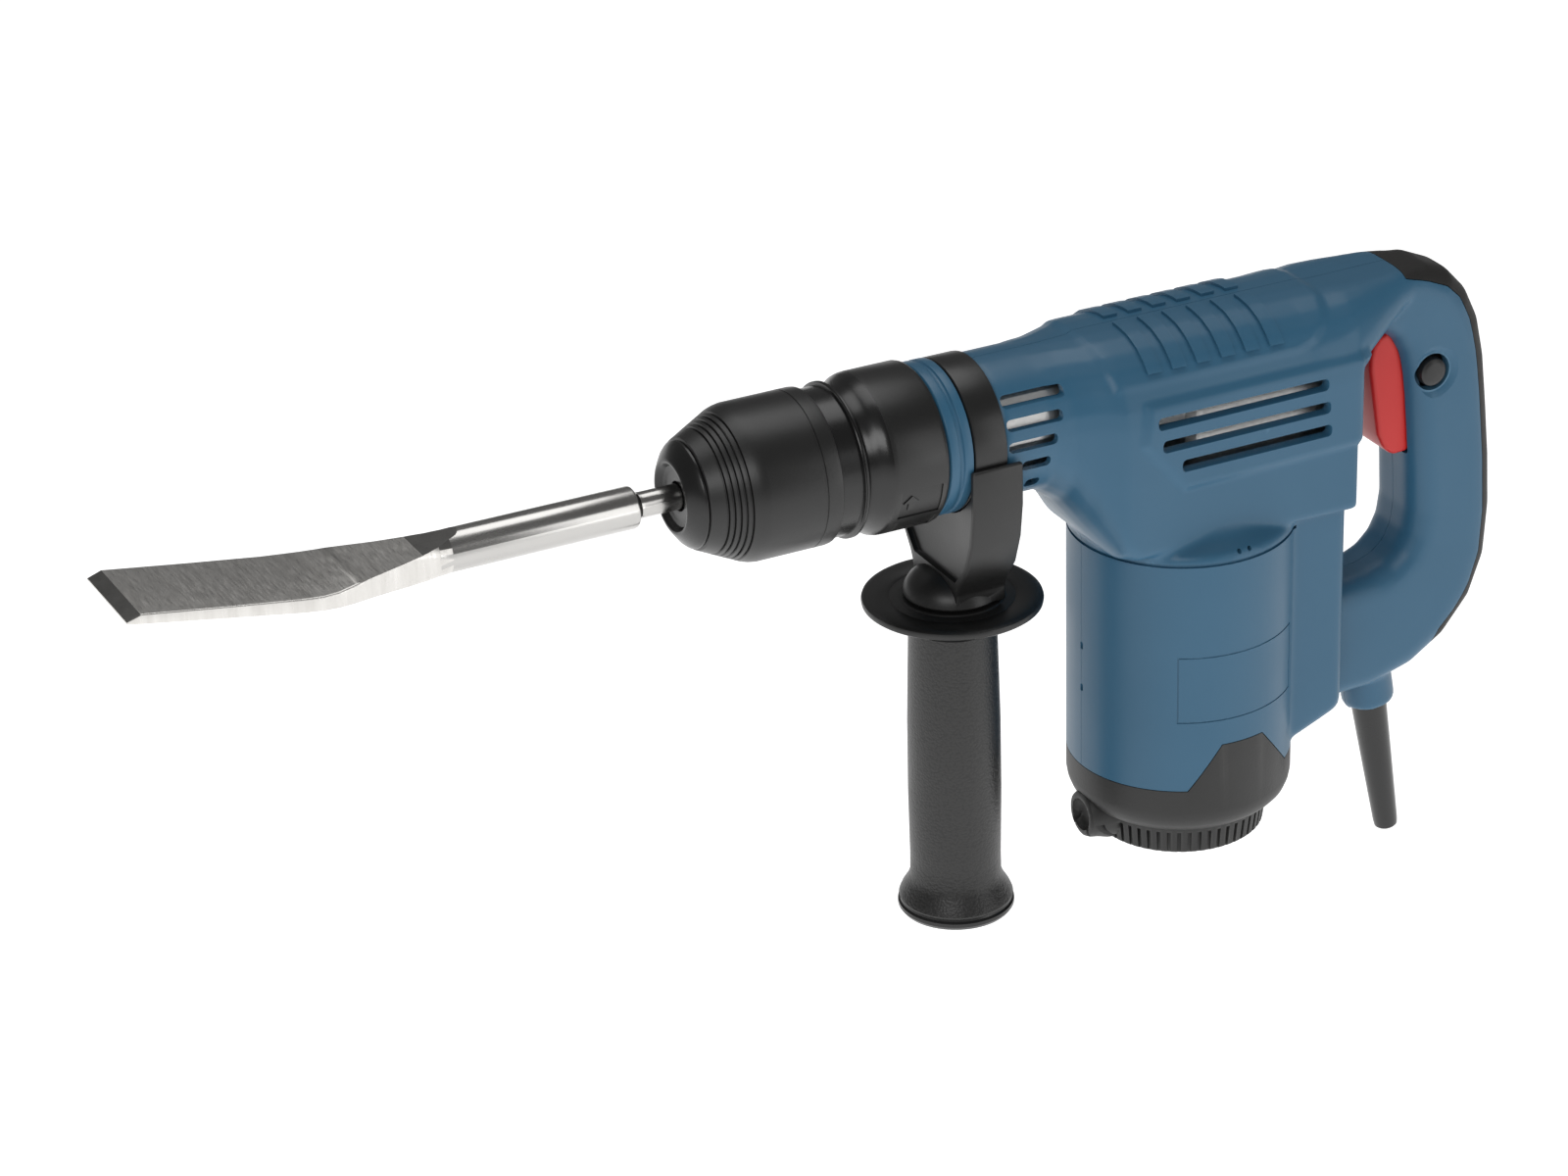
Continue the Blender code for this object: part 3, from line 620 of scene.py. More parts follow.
carbonBlock = plasticMaterial(
    "carbonBlock", (0.03, 0.03, 0.032), shade=(0.022, 0.022, 0.024), edgeHighlightColour=(0.08, 0.08, 0.08),
    roughness=0.6, grain=700.0, depth=0.05)
gripLeather = leatherMaterial(
    "gripLeather", (0.0145, 0.0142, 0.0138), valleyShadeColour=(0.0085, 0.0085, 0.0082),
    roughness=0.4, scale=1050.0, depth=0.13)
bladeSteel = metalMaterial(
    "bladeSteel", (0.74, 0.725, 0.7), shade=(0.52, 0.505, 0.48), roughness=0.34,
    stretch=(9, 1, 1), slant=38, scale=150.0, depth=0.03)
# the broad dark and bright colour bands along the body are painted reflections; the fine lines are grinding
# marks
bodySteel = metalMaterial(
    "bodySteel", (0.6, 0.59, 0.57), shade=(0.26, 0.255, 0.25), roughness=0.24, stretch=(0.25, 3, 3))
forgedSteel = metalMaterial(
    "forgedSteel", (0.16, 0.158, 0.152), shade=(0.11, 0.108, 0.104), roughness=0.55,
    stretch=(1, 1, 1), scale=500.0, depth=0.05)
machinedSteel = metalMaterial(
    "machinedSteel", (0.62, 0.61, 0.59), shade=(0.5, 0.49, 0.475), roughness=0.28,
    stretch=(4, 1, 1), scale=180.0)
castAlloy = metalMaterial(
    "castAlloy", (0.75, 0.745, 0.73), shade=(0.6, 0.595, 0.58), roughness=0.42,
    stretch=(1, 1, 1), scale=700.0, depth=0.06)
ironStack = metalMaterial(
    "ironStack", (0.24, 0.24, 0.25), shade=(0.15, 0.15, 0.16), roughness=0.5,
    stretch=(0.3, 0.3, 8), scale=220.0, depth=0.1)
copperWire = metalMaterial(
    "copperWire", (0.72, 0.33, 0.16), shade=(0.5, 0.2, 0.08), roughness=0.35,
    stretch=(0.3, 0.3, 6), scale=260.0, depth=0.1)
brassSheet = metalMaterial(
    "brassSheet", (0.75, 0.56, 0.24), shade=(0.62, 0.44, 0.17), roughness=0.32,
    stretch=(1, 6, 1), scale=160.0)
print("materials made")


def coat(obj, *materials):
    obj.data.materials.clear()
    for material in materials:
        obj.data.materials.append(material)
    return obj


def paintFaces(obj, index, test):
    # gives the faces that pass the test another of the piece's materials
    for face in obj.data.polygons:
        x, y, z = (face.center.x - handleX) / mm, face.center.y / mm, (face.center.z - axisZ) / mm
        if test(x, y, z, face.normal):
            face.material_index = index


def standFor(piece, body, slotName, *nodes):
    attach(piece, body)
    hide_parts(*nodes)
    print("made", piece.name, len(piece.data.polygons))


# housing: two mirrored shells over the mechanism, with the handle bow in one piece
housing = {
    "wall": 2.6,
    "skinVoxel": 1.25,
    "roomVoxel": 2.6,
    "neckRadius": 28.0,
    "tubeRadius": 44.0,
    "tubeTop": -57.0,
    # station, half width, top, low, upper corner, lower corner
    "gearbox": [
        (30, 28.0, 28.0, -28.0, 27, 27), (38, 28.6, 28.1, -33.5, 27, 26), (45, 30.4, 28.4, -43.0, 26.5, 24),
        (51, 32.8, 28.7, -50.5, 27, 19), (56, 34.7, 28.8, -55.5, 28.5, 12), (62, 35.0, 28.8, -55.5, 29, 5),
        (158.6, 34.6, 28.8, -55.5, 28, 2.5)],
    "shoulder": [
        (140, 34.8, 28.8, -20.0, 28, 6), (152, 34.2, 28.8, -5.0, 26, 6), (160, 32.2, 28.8, 0.5, 21.5, 6),
        (169, 28.2, 28.8, 5.0, 17, 6), (178, 23.6, 28.8, 9.0, 13, 6), (187, 19.4, 28.8, 14.0, 9, 5),
        (196, 16.2, 28.2, 18.0, 7, 3)],
    # outer point, inner point, half thickness, outer corner, inner corner
    "bow": [
        (150, 28.3, 150, 7.0, 17, 9, 5), (172, 28.9, 170, 7.4, 17, 9, 7), (190, 29.1, 181, 5.4, 17, 10, 8),
        (203, 28.0, 187, 1.0, 17, 11, 9), (214, 23.3, 190.6, -6.0, 17, 12, 10),
        (222.6, 14.0, 192, -11.5, 17, 13, 10), (228.2, 2.0, 193, -17.5, 17, 13, 10),
        (231.6, -14.0, 194, -26.0, 17, 13, 10),
        (234.0, -36.0, 195.3, -41.0, 17, 13, 10), (236.0, -58.0, 196.8, -58.0, 17, 13, 10),
        (237.0, -80.0, 197.5, -75.0, 17, 13, 10), (235.2, -102.0, 196.2, -84.0, 17, 13, 10),
        (228.5, -119.5, 193.0, -90.5, 17, 13, 10), (216.0, -134.0, 187.5, -95.2, 16.6, 12, 10),
        (200.0, -142.6, 180.0, -97.8, 16.2, 9, 10), (180.0, -146.8, 170.0, -99.0, 16, 6, 9),
        (150.0, -147.0, 150.0, -99.8, 16, 5, 8)],
    "column": [(100, -50), (158, -50), (158, -143.5), (148, -147.6), (137, -152), (118, -157), (100, -157)],
    "columnHalf": 29,
    "panel": [(63.5, 9.8), (61, -7), (80, -29.5), (175, -28), (175, 9.6), (150, 9.7)],
    "crown": [(53, 14), (70, 13.8), (133, 13.8), (141, 16), (148, 21.5), (153.5, 30), (157, 45), (46, 45)],
    "ribs": {"first": 67.5, "pitch": 10.6, "count": 6, "width": 5.8, "low": 19.3, "height": 1.15},
    # front end, rear end, height
    "neckSlots": [(9.7, 35.4, 17.6), (9.7, 33.0, 9.8), (9.7, 30.0, 1.5), (15.5, 27.4, -7.2),
                  (19, 24.8, -16.8)],
    "sideSlots": [(68.5, 142.5, 1.2), (70.5, 143.5, -8.4), (79.0, 144.2, -18.0)],
    "slotHalf": 2.1,
    "panelHeight": 1.7,
    "crownHeight": 0.9,
}
gripLine = [
    (190, 45), (190, 26.6), (201, 23.2), (209.5, 19.4), (215.5, 13.6), (220, 4), (223.2, -10), (225.6, -28),
    (228.2, -56), (229.2, -80), (228, -97), (224, -110), (217.5, -120.5), (210.5, -127.5), (208.5, -133),
    (210, -150), (260, -150), (260, 45)]
tabLine = [(76, -158), (76, -155.2), (80.6, -155.2), (93.4, -136.2), (112, -136.2), (127.4, -155.2),
           (131, -155.2), (131, -200), (76, -200)]
screwPoints = [(60, -37), (151, -72), (150, -128), (186, -121), (176, 18)]
guardTop = (188.5, 0, -160)
guardTilt = -9.8


def motorTurn(name, profile, steps=128):
    return turnPiece(name, profile, axis="Z", centre=(motorX, 0, 0), steps=steps)


def crossTurn(name, profile, x, z, steps=64):
    return turnPiece(name, profile, axis="Y", centre=(x, 0, z), steps=steps)


def guardTurn(name, profile, steps=64):
    return turnPiece(name, profile, axis="Z", centre=guardTop, tilt=guardTilt, steps=steps)


def gearboxForm(inset):
    outlines = []
    for station, half, top, low, upper, lower in housing["gearbox"]:
        x = station - inset if station > 100 else station + inset * 0.6
        high = (top - low) / 2 - inset
        outlines.append(addSection(at(x, 0, (top + low) / 2), high, half - inset, 0,
                                   max(upper - inset, 1.5), max(lower - inset, 1.5)))
    return skin("gearboxForm", outlines)


def shoulderForm():
    outlines = []
    for station, half, top, low, upper, lower in housing["shoulder"]:
        outlines.append(addSection(at(station, 0, (top + low) / 2), (top - low) / 2, half, 0, upper, lower))
    return skin("shoulderForm", outlines)


def bowForm(inset):
    outlines = []
    for outX, outZ, inX, inZ, half, outCorner, inCorner in housing["bow"]:
        turn = math.atan2(outX - inX, outZ - inZ)
        high = math.hypot(outX - inX, outZ - inZ) / 2 - inset
        outlines.append(addSection(at((outX + inX) / 2, 0, (outZ + inZ) / 2), high, half - inset, turn,
                                   max(outCorner - inset, 2), max(inCorner - inset, 2)))
    return skin("bowForm", outlines)


def housingForm(name, inset, voxel, rounds):
    neck = housing["neckRadius"] - inset
    body = housing["tubeRadius"] - inset
    half = housing["columnHalf"] - inset
    solids = [
        gearboxForm(inset),
        bowForm(inset * 2.2),
        turnPiece("neckForm", rod(9, 60, neck), steps=96),
        motorTurn("tubeForm", [(-200, 0), (-200, body), (housing["tubeTop"], body), (-55.4, body - 0.9),
                               (-53.6, body - 3.4), (-51.4, body - 6.6), (-48, body - 9.2),
                               (-42, body - 10.5), (-42, 0)]),
        cutPlate("columnForm", [(x - inset, z + inset) for x, z in housing["column"]], -half, half,
                 edge=4.5, segments=4),
    ]
    if inset == 0:
        solids.append(shoulderForm())
        solids.append(guardTurn("bossForm", [(0, 0), (0, 9.8), (1.2, 10.6), (26, 10.6), (26, 0)]))
        solids.append(turnPiece("noseForm", rod(-15.6, 12, 26.2), steps=96))
    else:
        solids.append(turnPiece("noseForm", rod(-30, 30, 24), steps=96))
    return fuse(name, solids, voxel, rounds)


def slotCutter(name, start, end, z, half, depthLow, depthHigh, flare, flareDepth):
    # a rounded slot pulled through the wall, widening at the skin like a chamfered rim
    deselect()
    bpy.ops.mesh.primitive_plane_add(size=1, location=at((start + end) / 2, -depthLow, z),
                                     rotation=(math.pi / 2, 0, 0))
    cutter = bpy.context.object
    cutter.name = name
    cutter.scale = ((end - start) * mm, 2 * half * mm, 1)
    settle(cutter)
    bpy.ops.object.mode_set(mode="EDIT")
    bpy.ops.mesh.select_all(action="SELECT")
    bpy.ops.mesh.bevel(offset=half * 0.8 * mm, segments=5, affect="VERTICES")
    bpy.ops.mesh.select_all(action="SELECT")
    for depth in (flareDepth - depthLow, depthHigh - flareDepth):
        bpy.ops.mesh.extrude_region_move(TRANSFORM_OT_translate={"value": (0, -depth * mm, 0)})
    wide = (end - start + 2 * flare) / (end - start)
    bpy.ops.transform.resize(value=(wide, 1, (half + flare) / half),
                             center_override=at((start + end) / 2, 0, z))
    closeUp()
    bpy.ops.object.mode_set(mode="OBJECT")
    return cutter


def bothSides(cutter):
    # the same cutter mirrored to the far side
    twin = copyOf(cutter, cutter.name + "Far")
    pick(twin)
    bpy.ops.transform.mirror(constraint_axis=(False, True, False), center_override=(0, 0, 0))
    settle(twin)
    bpy.ops.object.mode_set(mode="EDIT")
    closeUp()
    bpy.ops.object.mode_set(mode="OBJECT")
    return [cutter, twin]


def ventCutters():
    cutters = []
    half = housing["slotHalf"]
    for index, (start, end, z) in enumerate(housing["neckSlots"]):
        reach = math.sqrt(housing["neckRadius"] ** 2 - z * z)
        cutters += bothSides(slotCutter(f"neckSlot{index}", start, end, z, half,
                                        depthLow=8, depthHigh=45, flare=0.9, flareDepth=reach + 0.1))
    for index, (start, end, z) in enumerate(housing["sideSlots"]):
        cutters += bothSides(slotCutter(f"sideSlot{index}", start, end, z, half,
                                        depthLow=20, depthHigh=37.5, flare=0.7, flareDepth=35.3))
    return cutters


def labelFrame():
    # the shallow outline of a label field round the tube, left without any lettering
    radius = housing["tubeRadius"]
    field = motorTurn("labelField", tube(-125.6, -97.4, radius - 0.35, radius + 3), steps=192)
    inner = motorTurn("labelInner", tube(-125.0, -98.0, radius - 2, radius + 5), steps=192)
    for body, grow in ((field, 0.0), (inner, 0.6)):
        first = math.radians(-122) + grow / radius
        last = math.radians(-47) - grow / radius
        corners = [(motorX, 0)]
        for angle in (first, (first + last) / 2, last):
            corners.append((motorX + 120 * math.cos(angle), 120 * math.sin(angle)))
        combine(body, cutPlate("wedge", corners, -140, -80, plane="XY"), "INTERSECT")
    return combine(field, inner)


def screwWells():
    # the screws go in from the far side, so the wells open there only
    cutters = []
    for index, (x, z) in enumerate(screwPoints):
        cutters.append(crossTurn(f"well{index}", rod(11, 60, 4.0), x, z, steps=32))
        cutters.append(crossTurn(f"shank{index}", rod(-9, 12, 1.9), x, z, steps=24))
    return cutters


def panelDepth(x, y, z):
    return edgeDistance((x, z), housing["panel"]) if abs(y) > 30 and z < 14 else -1


def crownDepth(x, y, z):
    return edgeDistance((x, z), housing["crown"]) if x < 160 else -1


print("building the housing")
skinForm = housingForm("housingSkin", 0.0, housing["skinVoxel"], 5)
raiseArea(skinForm, housing["panelHeight"], panelDepth, 3.0)
raiseArea(skinForm, housing["crownHeight"], crownDepth, 2.2)
ribs = housing["ribs"]
ribForm = copyOf(skinForm, "ribForm")
edit(ribForm)
bpy.ops.mesh.select_all(action="SELECT")
bpy.ops.transform.shrink_fatten(value=ribs["height"] * mm)
bpy.ops.object.mode_set(mode="OBJECT")
slabs = []
for index in range(ribs["count"]):
    start = ribs["first"] + index * ribs["pitch"]
    for low, high in ((-60, -3.2), (3.2, 60)):
        slabs.append(addBlock(f"slab{index}", (start, low, ribs["low"]), (start + ribs["width"], high, 60)))
combine(ribForm, joinAll("ribSlabs", slabs), "INTERSECT")
combine(skinForm, ribForm, "UNION")
stripForm = copyOf(skinForm, "gripStrip")
roomForm = housingForm("housingRoom", housing["wall"], housing["roomVoxel"], 2)
combine(skinForm, roomForm)
print("shell hollowed")


def grownPlate(name, loop, low, high, grow):
    # an outline cutter, widened on every side by a few tenths
    plate = cutPlate(name, loop, low, high)
    edit(plate)
    bpy.ops.mesh.select_all(action="SELECT")
    bpy.ops.transform.shrink_fatten(value=grow * mm, use_even_offset=True)
    bpy.ops.object.mode_set(mode="OBJECT")
    return plate


button = {
    "x": 203.5, "z": -15.0, "hole": 7.6, "dish": 11.2,
    "profile": [(-17.2, 0), (-17.2, 3.6), (-16.9, 4.6), (-16.3, 5.5), (-15.4, 5.8), (-12.9, 5.8), (-12.9, 0)],
}
trigger = {
    "space": [(166, 4.8), (203.5, 4.8), (206.5, -20), (206.5, -50.6), (166, -50.6)],
    "spaceHalf": 10.2,
    "loop": [(186, 3.2), (182.3, 1.2), (180, -2), (179.1, -7), (179.2, -12), (183.4, -40), (186.4, -46.6),
             (190.6, -50.0), (197.5, -49.8), (200.5, -45), (200.8, -18), (199, 0), (195, 3.2)],
    "half": 9.6, "edge": 2.6, "pinX": 193.5, "pinZ": 0.5, "pinRadius": 1.8,
}
seamRing = motorTurn("seamRing", tube(-59.6, -58.3, 43.1, 46), steps=160)
combine(seamRing, addBlock("seamReach", (40, -60, -70), (134, 60, -50)), "INTERSECT")
buttonDish = crossTurn("buttonDish", [(-15.6, 0), (-15.6, 8.4), (-17.3, button["dish"]),
                                      (-24, button["dish"] + 3), (-24, 0)], button["x"], button["z"])
buttonHole = crossTurn("buttonHole", rod(-30, -10.4, button["hole"]), button["x"], button["z"])
guardHole = guardTurn("guardHole", rod(-5, 14, 7.8), steps=48)
capCut = grownPlate("capCut", tabLine, -70, 70, 0.18)
capBelow = addBlock("capBelow", (30, -60, -230), (motorX + 46.5, 60, -155.0))
stripCut = grownPlate("stripCut", gripLine, -40, 40, 0.2)
triggerCut = cutPlate("triggerCut", trigger["space"], -trigger["spaceHalf"], trigger["spaceHalf"], edge=1.2)
pinHole = crossTurn("pinHole", rod(-12.4, 12.4, trigger["pinRadius"]), trigger["pinX"], trigger["pinZ"], 24)
# two small holes above the seam and two clip windows at the front of the motor body
eyes = [crossTurn(f"eye{index}", rod(-50, -30, 0.85), motorX + 4.6 * index, -55.6, 20) for index in (0, 1)]
clips = [addBlock(f"clip{z}", (50, -1.3, z - 1.5), (57.4, 0.5, z + 1.5), 0.4) for z in (-103, -121)]
cutAll(skinForm, ventCutters())
cutAll(skinForm, [seamRing, buttonDish, buttonHole, guardHole, capBelow, capCut, stripCut, triggerCut,
                  pinHole, labelFrame(), *eyes, *clips])
cutAll(skinForm, screwWells())
print("housing cut", len(skinForm.data.polygons))
for side, low, high in (("Left", -80, -0.12), ("Right", 0.12, 80)):
    half = copyOf(skinForm, f"housing{side}Shell")
    combine(half, addBlock("sideBox", (-60, low, -240), (280, high, 80)), "INTERSECT")
    coat(smoothShade(half, 32), bluePlastic)
    standFor(half, "housing", "blue_plastic", f"housing_{side.lower()}")
bpy.data.objects.remove(skinForm)

combine(stripForm, grownPlate("stripKeep", gripLine, -40, 40, -0.1), "INTERSECT")
coat(smoothShade(stripForm, 32), softBlack)
standFor(stripForm, "housing", "black_rubber", "soft_grip")

# front collar, motor cap and cord guard
collar = {"profile": [(-15.6, 26.7), (-15.6, 28.4), (-15.0, 29.2), (-11.6, 29.3), (-11.2, 28.5), (-9.8, 28.5),
                      (-9.4, 29.3), (-6, 29.3), (-6, 26.7)]}
collarPiece = turnPiece("frontCollarRing", collar["profile"], edge=0.2)
coat(collarPiece, bluePlastic)
standFor(collarPiece, "housing", "blue_plastic", "front_collar")

cap = {
    "outside": [(-125, 41.5), (-125, 44), (-165.0, 44), (-168.0, 43.5), (-171.0, 42.3), (-173.6, 40),
                (-175.6, 37.2), (-177.0, 35), (-187.3, 33.6), (-188, 32.8), (-188, 27), (-176, 27),
                (-176, 36), (-168, 41.4)],
    "ribs": 54,
    "bossZ": -177.2,
    "boss": [(55.9, 0), (55.9, 7.8), (56.5, 8.9), (58, 9.6), (61, 10.2), (65, 11.4), (74, 12.4), (74, 0)],
    "bossDish": [(50, 0), (50, 6.9), (56.4, 6.5), (58.2, 5.4), (59.2, 3.6), (59.6, 0)],
}
capPiece = motorTurn("motorCapShell", cap["outside"], steps=160)
keepBelow = addBlock("keepBelow", (30, -60, -230), (170, 60, -155.3))
combine(keepBelow, grownPlate("keepTabs", tabLine, -70, 70, -0.12), "UNION")
combine(capPiece, keepBelow, "INTERSECT")
bossPlace = (0, 0, cap["bossZ"])
combine(capPiece, turnPiece("capBoss", cap["boss"], centre=bossPlace, steps=64), "UNION")
combine(capPiece, motorTurn("capFloor", rod(-187, -184.5, 28), steps=96), "UNION")
combine(capPiece, turnPiece("capBossDish", cap["bossDish"], centre=bossPlace, steps=48))
slot = addBlock("ventSlot", (motorX - 46, -0.75, -190), (motorX - 32.6, 0.75, -178.4))
slots = [copyOf(slot, f"ventSlot{index}") for index in range(1, cap["ribs"])]
for index, twin in enumerate(slots, 1):
    turn = Matrix.Rotation(2 * math.pi * index / cap["ribs"], 4, "Z")
    twin.data.transform(Matrix.Translation(at(motorX, 0, 0)) @ turn @ Matrix.Translation(-at(motorX, 0, 0)))
bpy.data.objects.remove(slot)  # the first one would fall inside the boss
combine(capPiece, joinAll("ventSlots", slots))
coat(smoothShade(softenEdges(capPiece, 0.12, 1, 50), 32), mattBlack)
standFor(capPiece, "housing", "black_plastic", "motor_cap")

guard = {"profile": [(-61.4, 0), (-61.4, 3.9), (-60.6, 4.7), (-58, 5.0), (-30, 6.1), (0, 7.2), (12, 7.3),
                     (12, 0)], "bore": 2.9}
guardPiece = guardTurn("cordGuardSleeve", guard["profile"])
combine(guardPiece, guardTurn("guardBore", rod(-70, 20, guard["bore"]), steps=32))
coat(smoothShade(guardPiece), glossBlack)
standFor(guardPiece, "housing", "black_rubber", "cord_guard")

# trigger and lock button
triggerPiece = cutPlate("triggerLever", trigger["loop"], -trigger["half"], trigger["half"],
                        edge=trigger["edge"], segments=5)
combine(triggerPiece, crossTurn("triggerBore", rod(-20, 20, trigger["pinRadius"]), trigger["pinX"],
                                trigger["pinZ"], 24))
coat(smoothShade(triggerPiece, 40), redPlastic)
standFor(triggerPiece, "trigger", "red_plastic", "trigger")

buttonPiece = crossTurn("lockButtonCap", button["profile"], button["x"], button["z"])
coat(buttonPiece, blackPlastic)
standFor(buttonPiece, "lock_button", "black_plastic", "lock_button")

# chuck: dust cap, locking sleeve, spring cover and adjustment ring
dustCap = {"profile": [(-109.4, 5.6), (-109.4, 20.3), (-110.2, 20.2), (-111.8, 18.8), (-113.6, 16.4),
                       (-114.7, 14.8), (-115.2, 13.8), (-115.1, 12.9), (-114.2, 12.2), (-112.9, 11.4),
                       (-112.5, 9.6), (-112.6, 7.2), (-112.4, 5.6)]}
dustCapPiece = turnPiece("dustCapSeal", dustCap["profile"], edge=0.25)
coat(dustCapPiece, glossBlack)
standFor(dustCapPiece, "tool_holder", "black_rubber", "dust_cap")

sleeve = {
    "grooves": [-103.3, -101.3, -99.3, -97.3, -95.3],
    "frontX": -109, "frontR": 20.9, "coneX": -92.0, "coneR": 29.0,
    "nose": [(-97, 11.4), (-109, 11.4), (-109, 20.4), (-108.6, 21.1)],
    "barrel": [(-92.6, 28.8), (-90.6, 29.4), (-88.2, 29.8), (-66.6, 29.8), (-66.4, 29.5), (-66.0, 29.5),
               (-65.8, 29.8), (-61.2, 29.8), (-59.8, 29.6), (-59.4, 29.1), (-59.4, 28.6), (-77, 28.6),
               (-79.5, 26.5), (-97, 26.5)],
}
slopeR = (sleeve["coneR"] - sleeve["frontR"]) / (sleeve["coneX"] - sleeve["frontX"])
sleeveLine = list(sleeve["nose"])
for x in sleeve["grooves"]:
    r = sleeve["frontR"] + slopeR * (x - sleeve["frontX"])
    sleeveLine += [(x - 0.5, r - 0.2), (x - 0.3, r - 1.0), (x + 0.3, r - 0.75), (x + 0.5, r + 0.3)]
sleevePiece = turnPiece("lockingSleeveShell", sleeveLine + sleeve["barrel"], steps=160)
coat(sleevePiece, blackPlastic)
standFor(sleevePiece, "locking_sleeve", "black_plastic", "locking_sleeve")

cover = {"profile": [(-66, 11.4), (-66, 27.6), (-65.6, 28), (-51.2, 28.2), (-50.9, 28.7), (-50.7, 29.4),
                     (-50.4, 29.6), (-50.2, 29.3), (-49.9, 29.6), (-49.3, 29.6), (-48.8, 29.2),
                     (-48.6, 28.6), (-48.6, 17.5), (-51, 17.5), (-51, 11.4)]}
coverPiece = turnPiece("springCoverRing", cover["profile"], steps=160)
coat(coverPiece, glossBlack)
standFor(coverPiece, "tool_holder", "black_plastic", "spring_cover")

angleRing = {
    "profile": [(-48, 17.5), (-48, 26.2), (-47.2, 26.9), (-45.2, 27.5), (-43, 28.8), (-41, 30.2), (-39, 30.8),
                (-37, 30.9), (-18.2, 30.9), (-17.2, 30.6), (-16.4, 29.8), (-16.4, 24), (-36, 24), (-36, 17.5)],
    "fieldFloor": 30.35,
    # along the axis, and angle down from the near side
    "arrow": [(-33.2, 25), (-33.2, 18.6), (-35.3, 18.6), (-32, 12.8), (-28.7, 18.6), (-30.8, 18.6),
              (-30.8, 25)],
    "glossUpTo": -38.2,
}
ringPiece = turnPiece("adjustmentRingShell", angleRing["profile"], steps=192)


def ringField(name, low, high, start, end):
    # a sector of a shell round the hammer axis, from the near side (0) down to the belly (90)
    sector = turnPiece(name, tube(low, high, angleRing["fieldFloor"], 36), steps=192)
    corners = [(0, 0)]
    for angle in (start, (start + end) / 2, end):
        corners.append((60 * math.cos(math.radians(180 + angle)), 60 * math.sin(math.radians(180 + angle))))
    return combine(sector, cutPlate(name + "Wedge", corners, -60, 20, plane="YZ"), "INTERSECT")


combine(ringPiece, ringField("arrowField", -36.5, -19.5, 8, 33))
combine(ringPiece, ringField("lowField", -35.0, -19.5, 38, 56))
arrowLoop = [(x, -31 * math.sin(math.radians(angle))) for x, angle in angleRing["arrow"]]
arrowMark = cutPlate("arrowMark", arrowLoop, -32, -20)
combine(arrowMark, turnPiece("arrowBand", tube(-38, -18, 29, 30.8), steps=192), "INTERSECT")
combine(ringPiece, arrowMark, "UNION")
coat(smoothShade(ringPiece), blackPlastic, glossBlack)
paintFaces(ringPiece, 1, lambda x, y, z, normal: x < angleRing["glossUpTo"])
standFor(ringPiece, "tool_holder", "black_plastic", "adjustment_ring")
print("chuck made")

# side handle: band, yoke and grip
band = {"profile": [(-5.2, 26.7), (-5.2, 28.7), (-4.9, 29.1), (-4.2, 29.2), (7.3, 29.2), (8.0, 29.1),
                    (8.3, 28.7), (8.3, 26.7)]}
bandPiece = turnPiece("clampBandStrap", band["profile"], steps=160)
combine(bandPiece, addBlock("bandGap", (-20, -6, -40), (20, 6, -20)))
coat(smoothShade(bandPiece), blackPlastic)
standFor(bandPiece, "side_handle", "black_plastic", "clamp_band")

yoke = {
    # one side of each outline; the other side mirrors it
    "loop": [(31.5, -3.2), (31.5, -20), (29.6, -34), (25.5, -46), (19.5, -54.5), (17.5, -59), (17.2, -65.6)],
    "web": [(29.4, 6), (29.4, -20), (27.4, -34), (23, -46), (16, -54)],
    "low": -7.5, "high": 13.5, "webLow": -5.2, "webHigh": 11.2,
    "foot": [(-65.6, 0), (-65.6, 18.6), (-64.8, 18.9), (-62.6, 18.4), (-60, 16.8), (-57.6, 14.2),
             (-55.8, 10.8), (-54.8, 6), (-54.6, 0)],
    "bandSpace": 29.8, "studSpace": 4.4,
}
yokeLoop, webLoop = [[(-y, z) for y, z in yoke[key]] + yoke[key][::-1] for key in ("loop", "web")]
yokePiece = cutPlate("handleYoke", yokeLoop, yoke["low"], yoke["high"], plane="YZ", edge=0.9)
combine(yokePiece, cutPlate("frontWeb", webLoop, -20, yoke["webLow"], plane="YZ", edge=0.6))
combine(yokePiece, cutPlate("rearWeb", webLoop, yoke["webHigh"], 30, plane="YZ", edge=0.6))
combine(yokePiece, turnPiece("yokeFoot", yoke["foot"], axis="Z", steps=96), "UNION")
combine(yokePiece, turnPiece("bandSpace", rod(-40, 40, yoke["bandSpace"])))
combine(yokePiece, turnPiece("studSpace", rod(-90, -20, yoke["studSpace"]), axis="Z", steps=32))
coat(smoothShade(yokePiece, 32), blackPlastic)
standFor(yokePiece, "side_handle", "black_plastic", "handle_bracket")

grip = {
    "profile": [
        (-140, 0), (-140, 4.4), (-66.4, 4.4), (-66.4, 19.8), (-66.9, 20.4), (-67.4, 24), (-66.7, 25.2),
        (-66.5, 31.6), (-66.7, 33.4), (-67.3, 34.3), (-68.2, 34.6), (-69.4, 34.4), (-70, 33.6), (-70.6, 30),
        (-71.6, 22), (-72.6, 18.4), (-74, 17.6), (-77.2, 17.2), (-77.8, 16.6), (-78.6, 16.5), (-79.2, 16.9),
        (-95, 17.3), (-120, 17.9), (-150, 18), (-178, 17.6), (-186, 17.7), (-189.5, 19), (-193, 21.2),
        (-195.4, 22.2), (-196.2, 22), (-196.6, 21.6), (-197.3, 21.8), (-198, 22.6), (-199.4, 22.7),
        (-200.8, 21.8), (-201.7, 19.8), (-201.7, 0)],
    "leatherTop": -79, "leatherLow": -196,
}
gripPiece = turnPiece("sideGripHandle", grip["profile"], axis="Z", steps=160)
coat(gripPiece, blackPlastic, gripLeather, glossBlack)
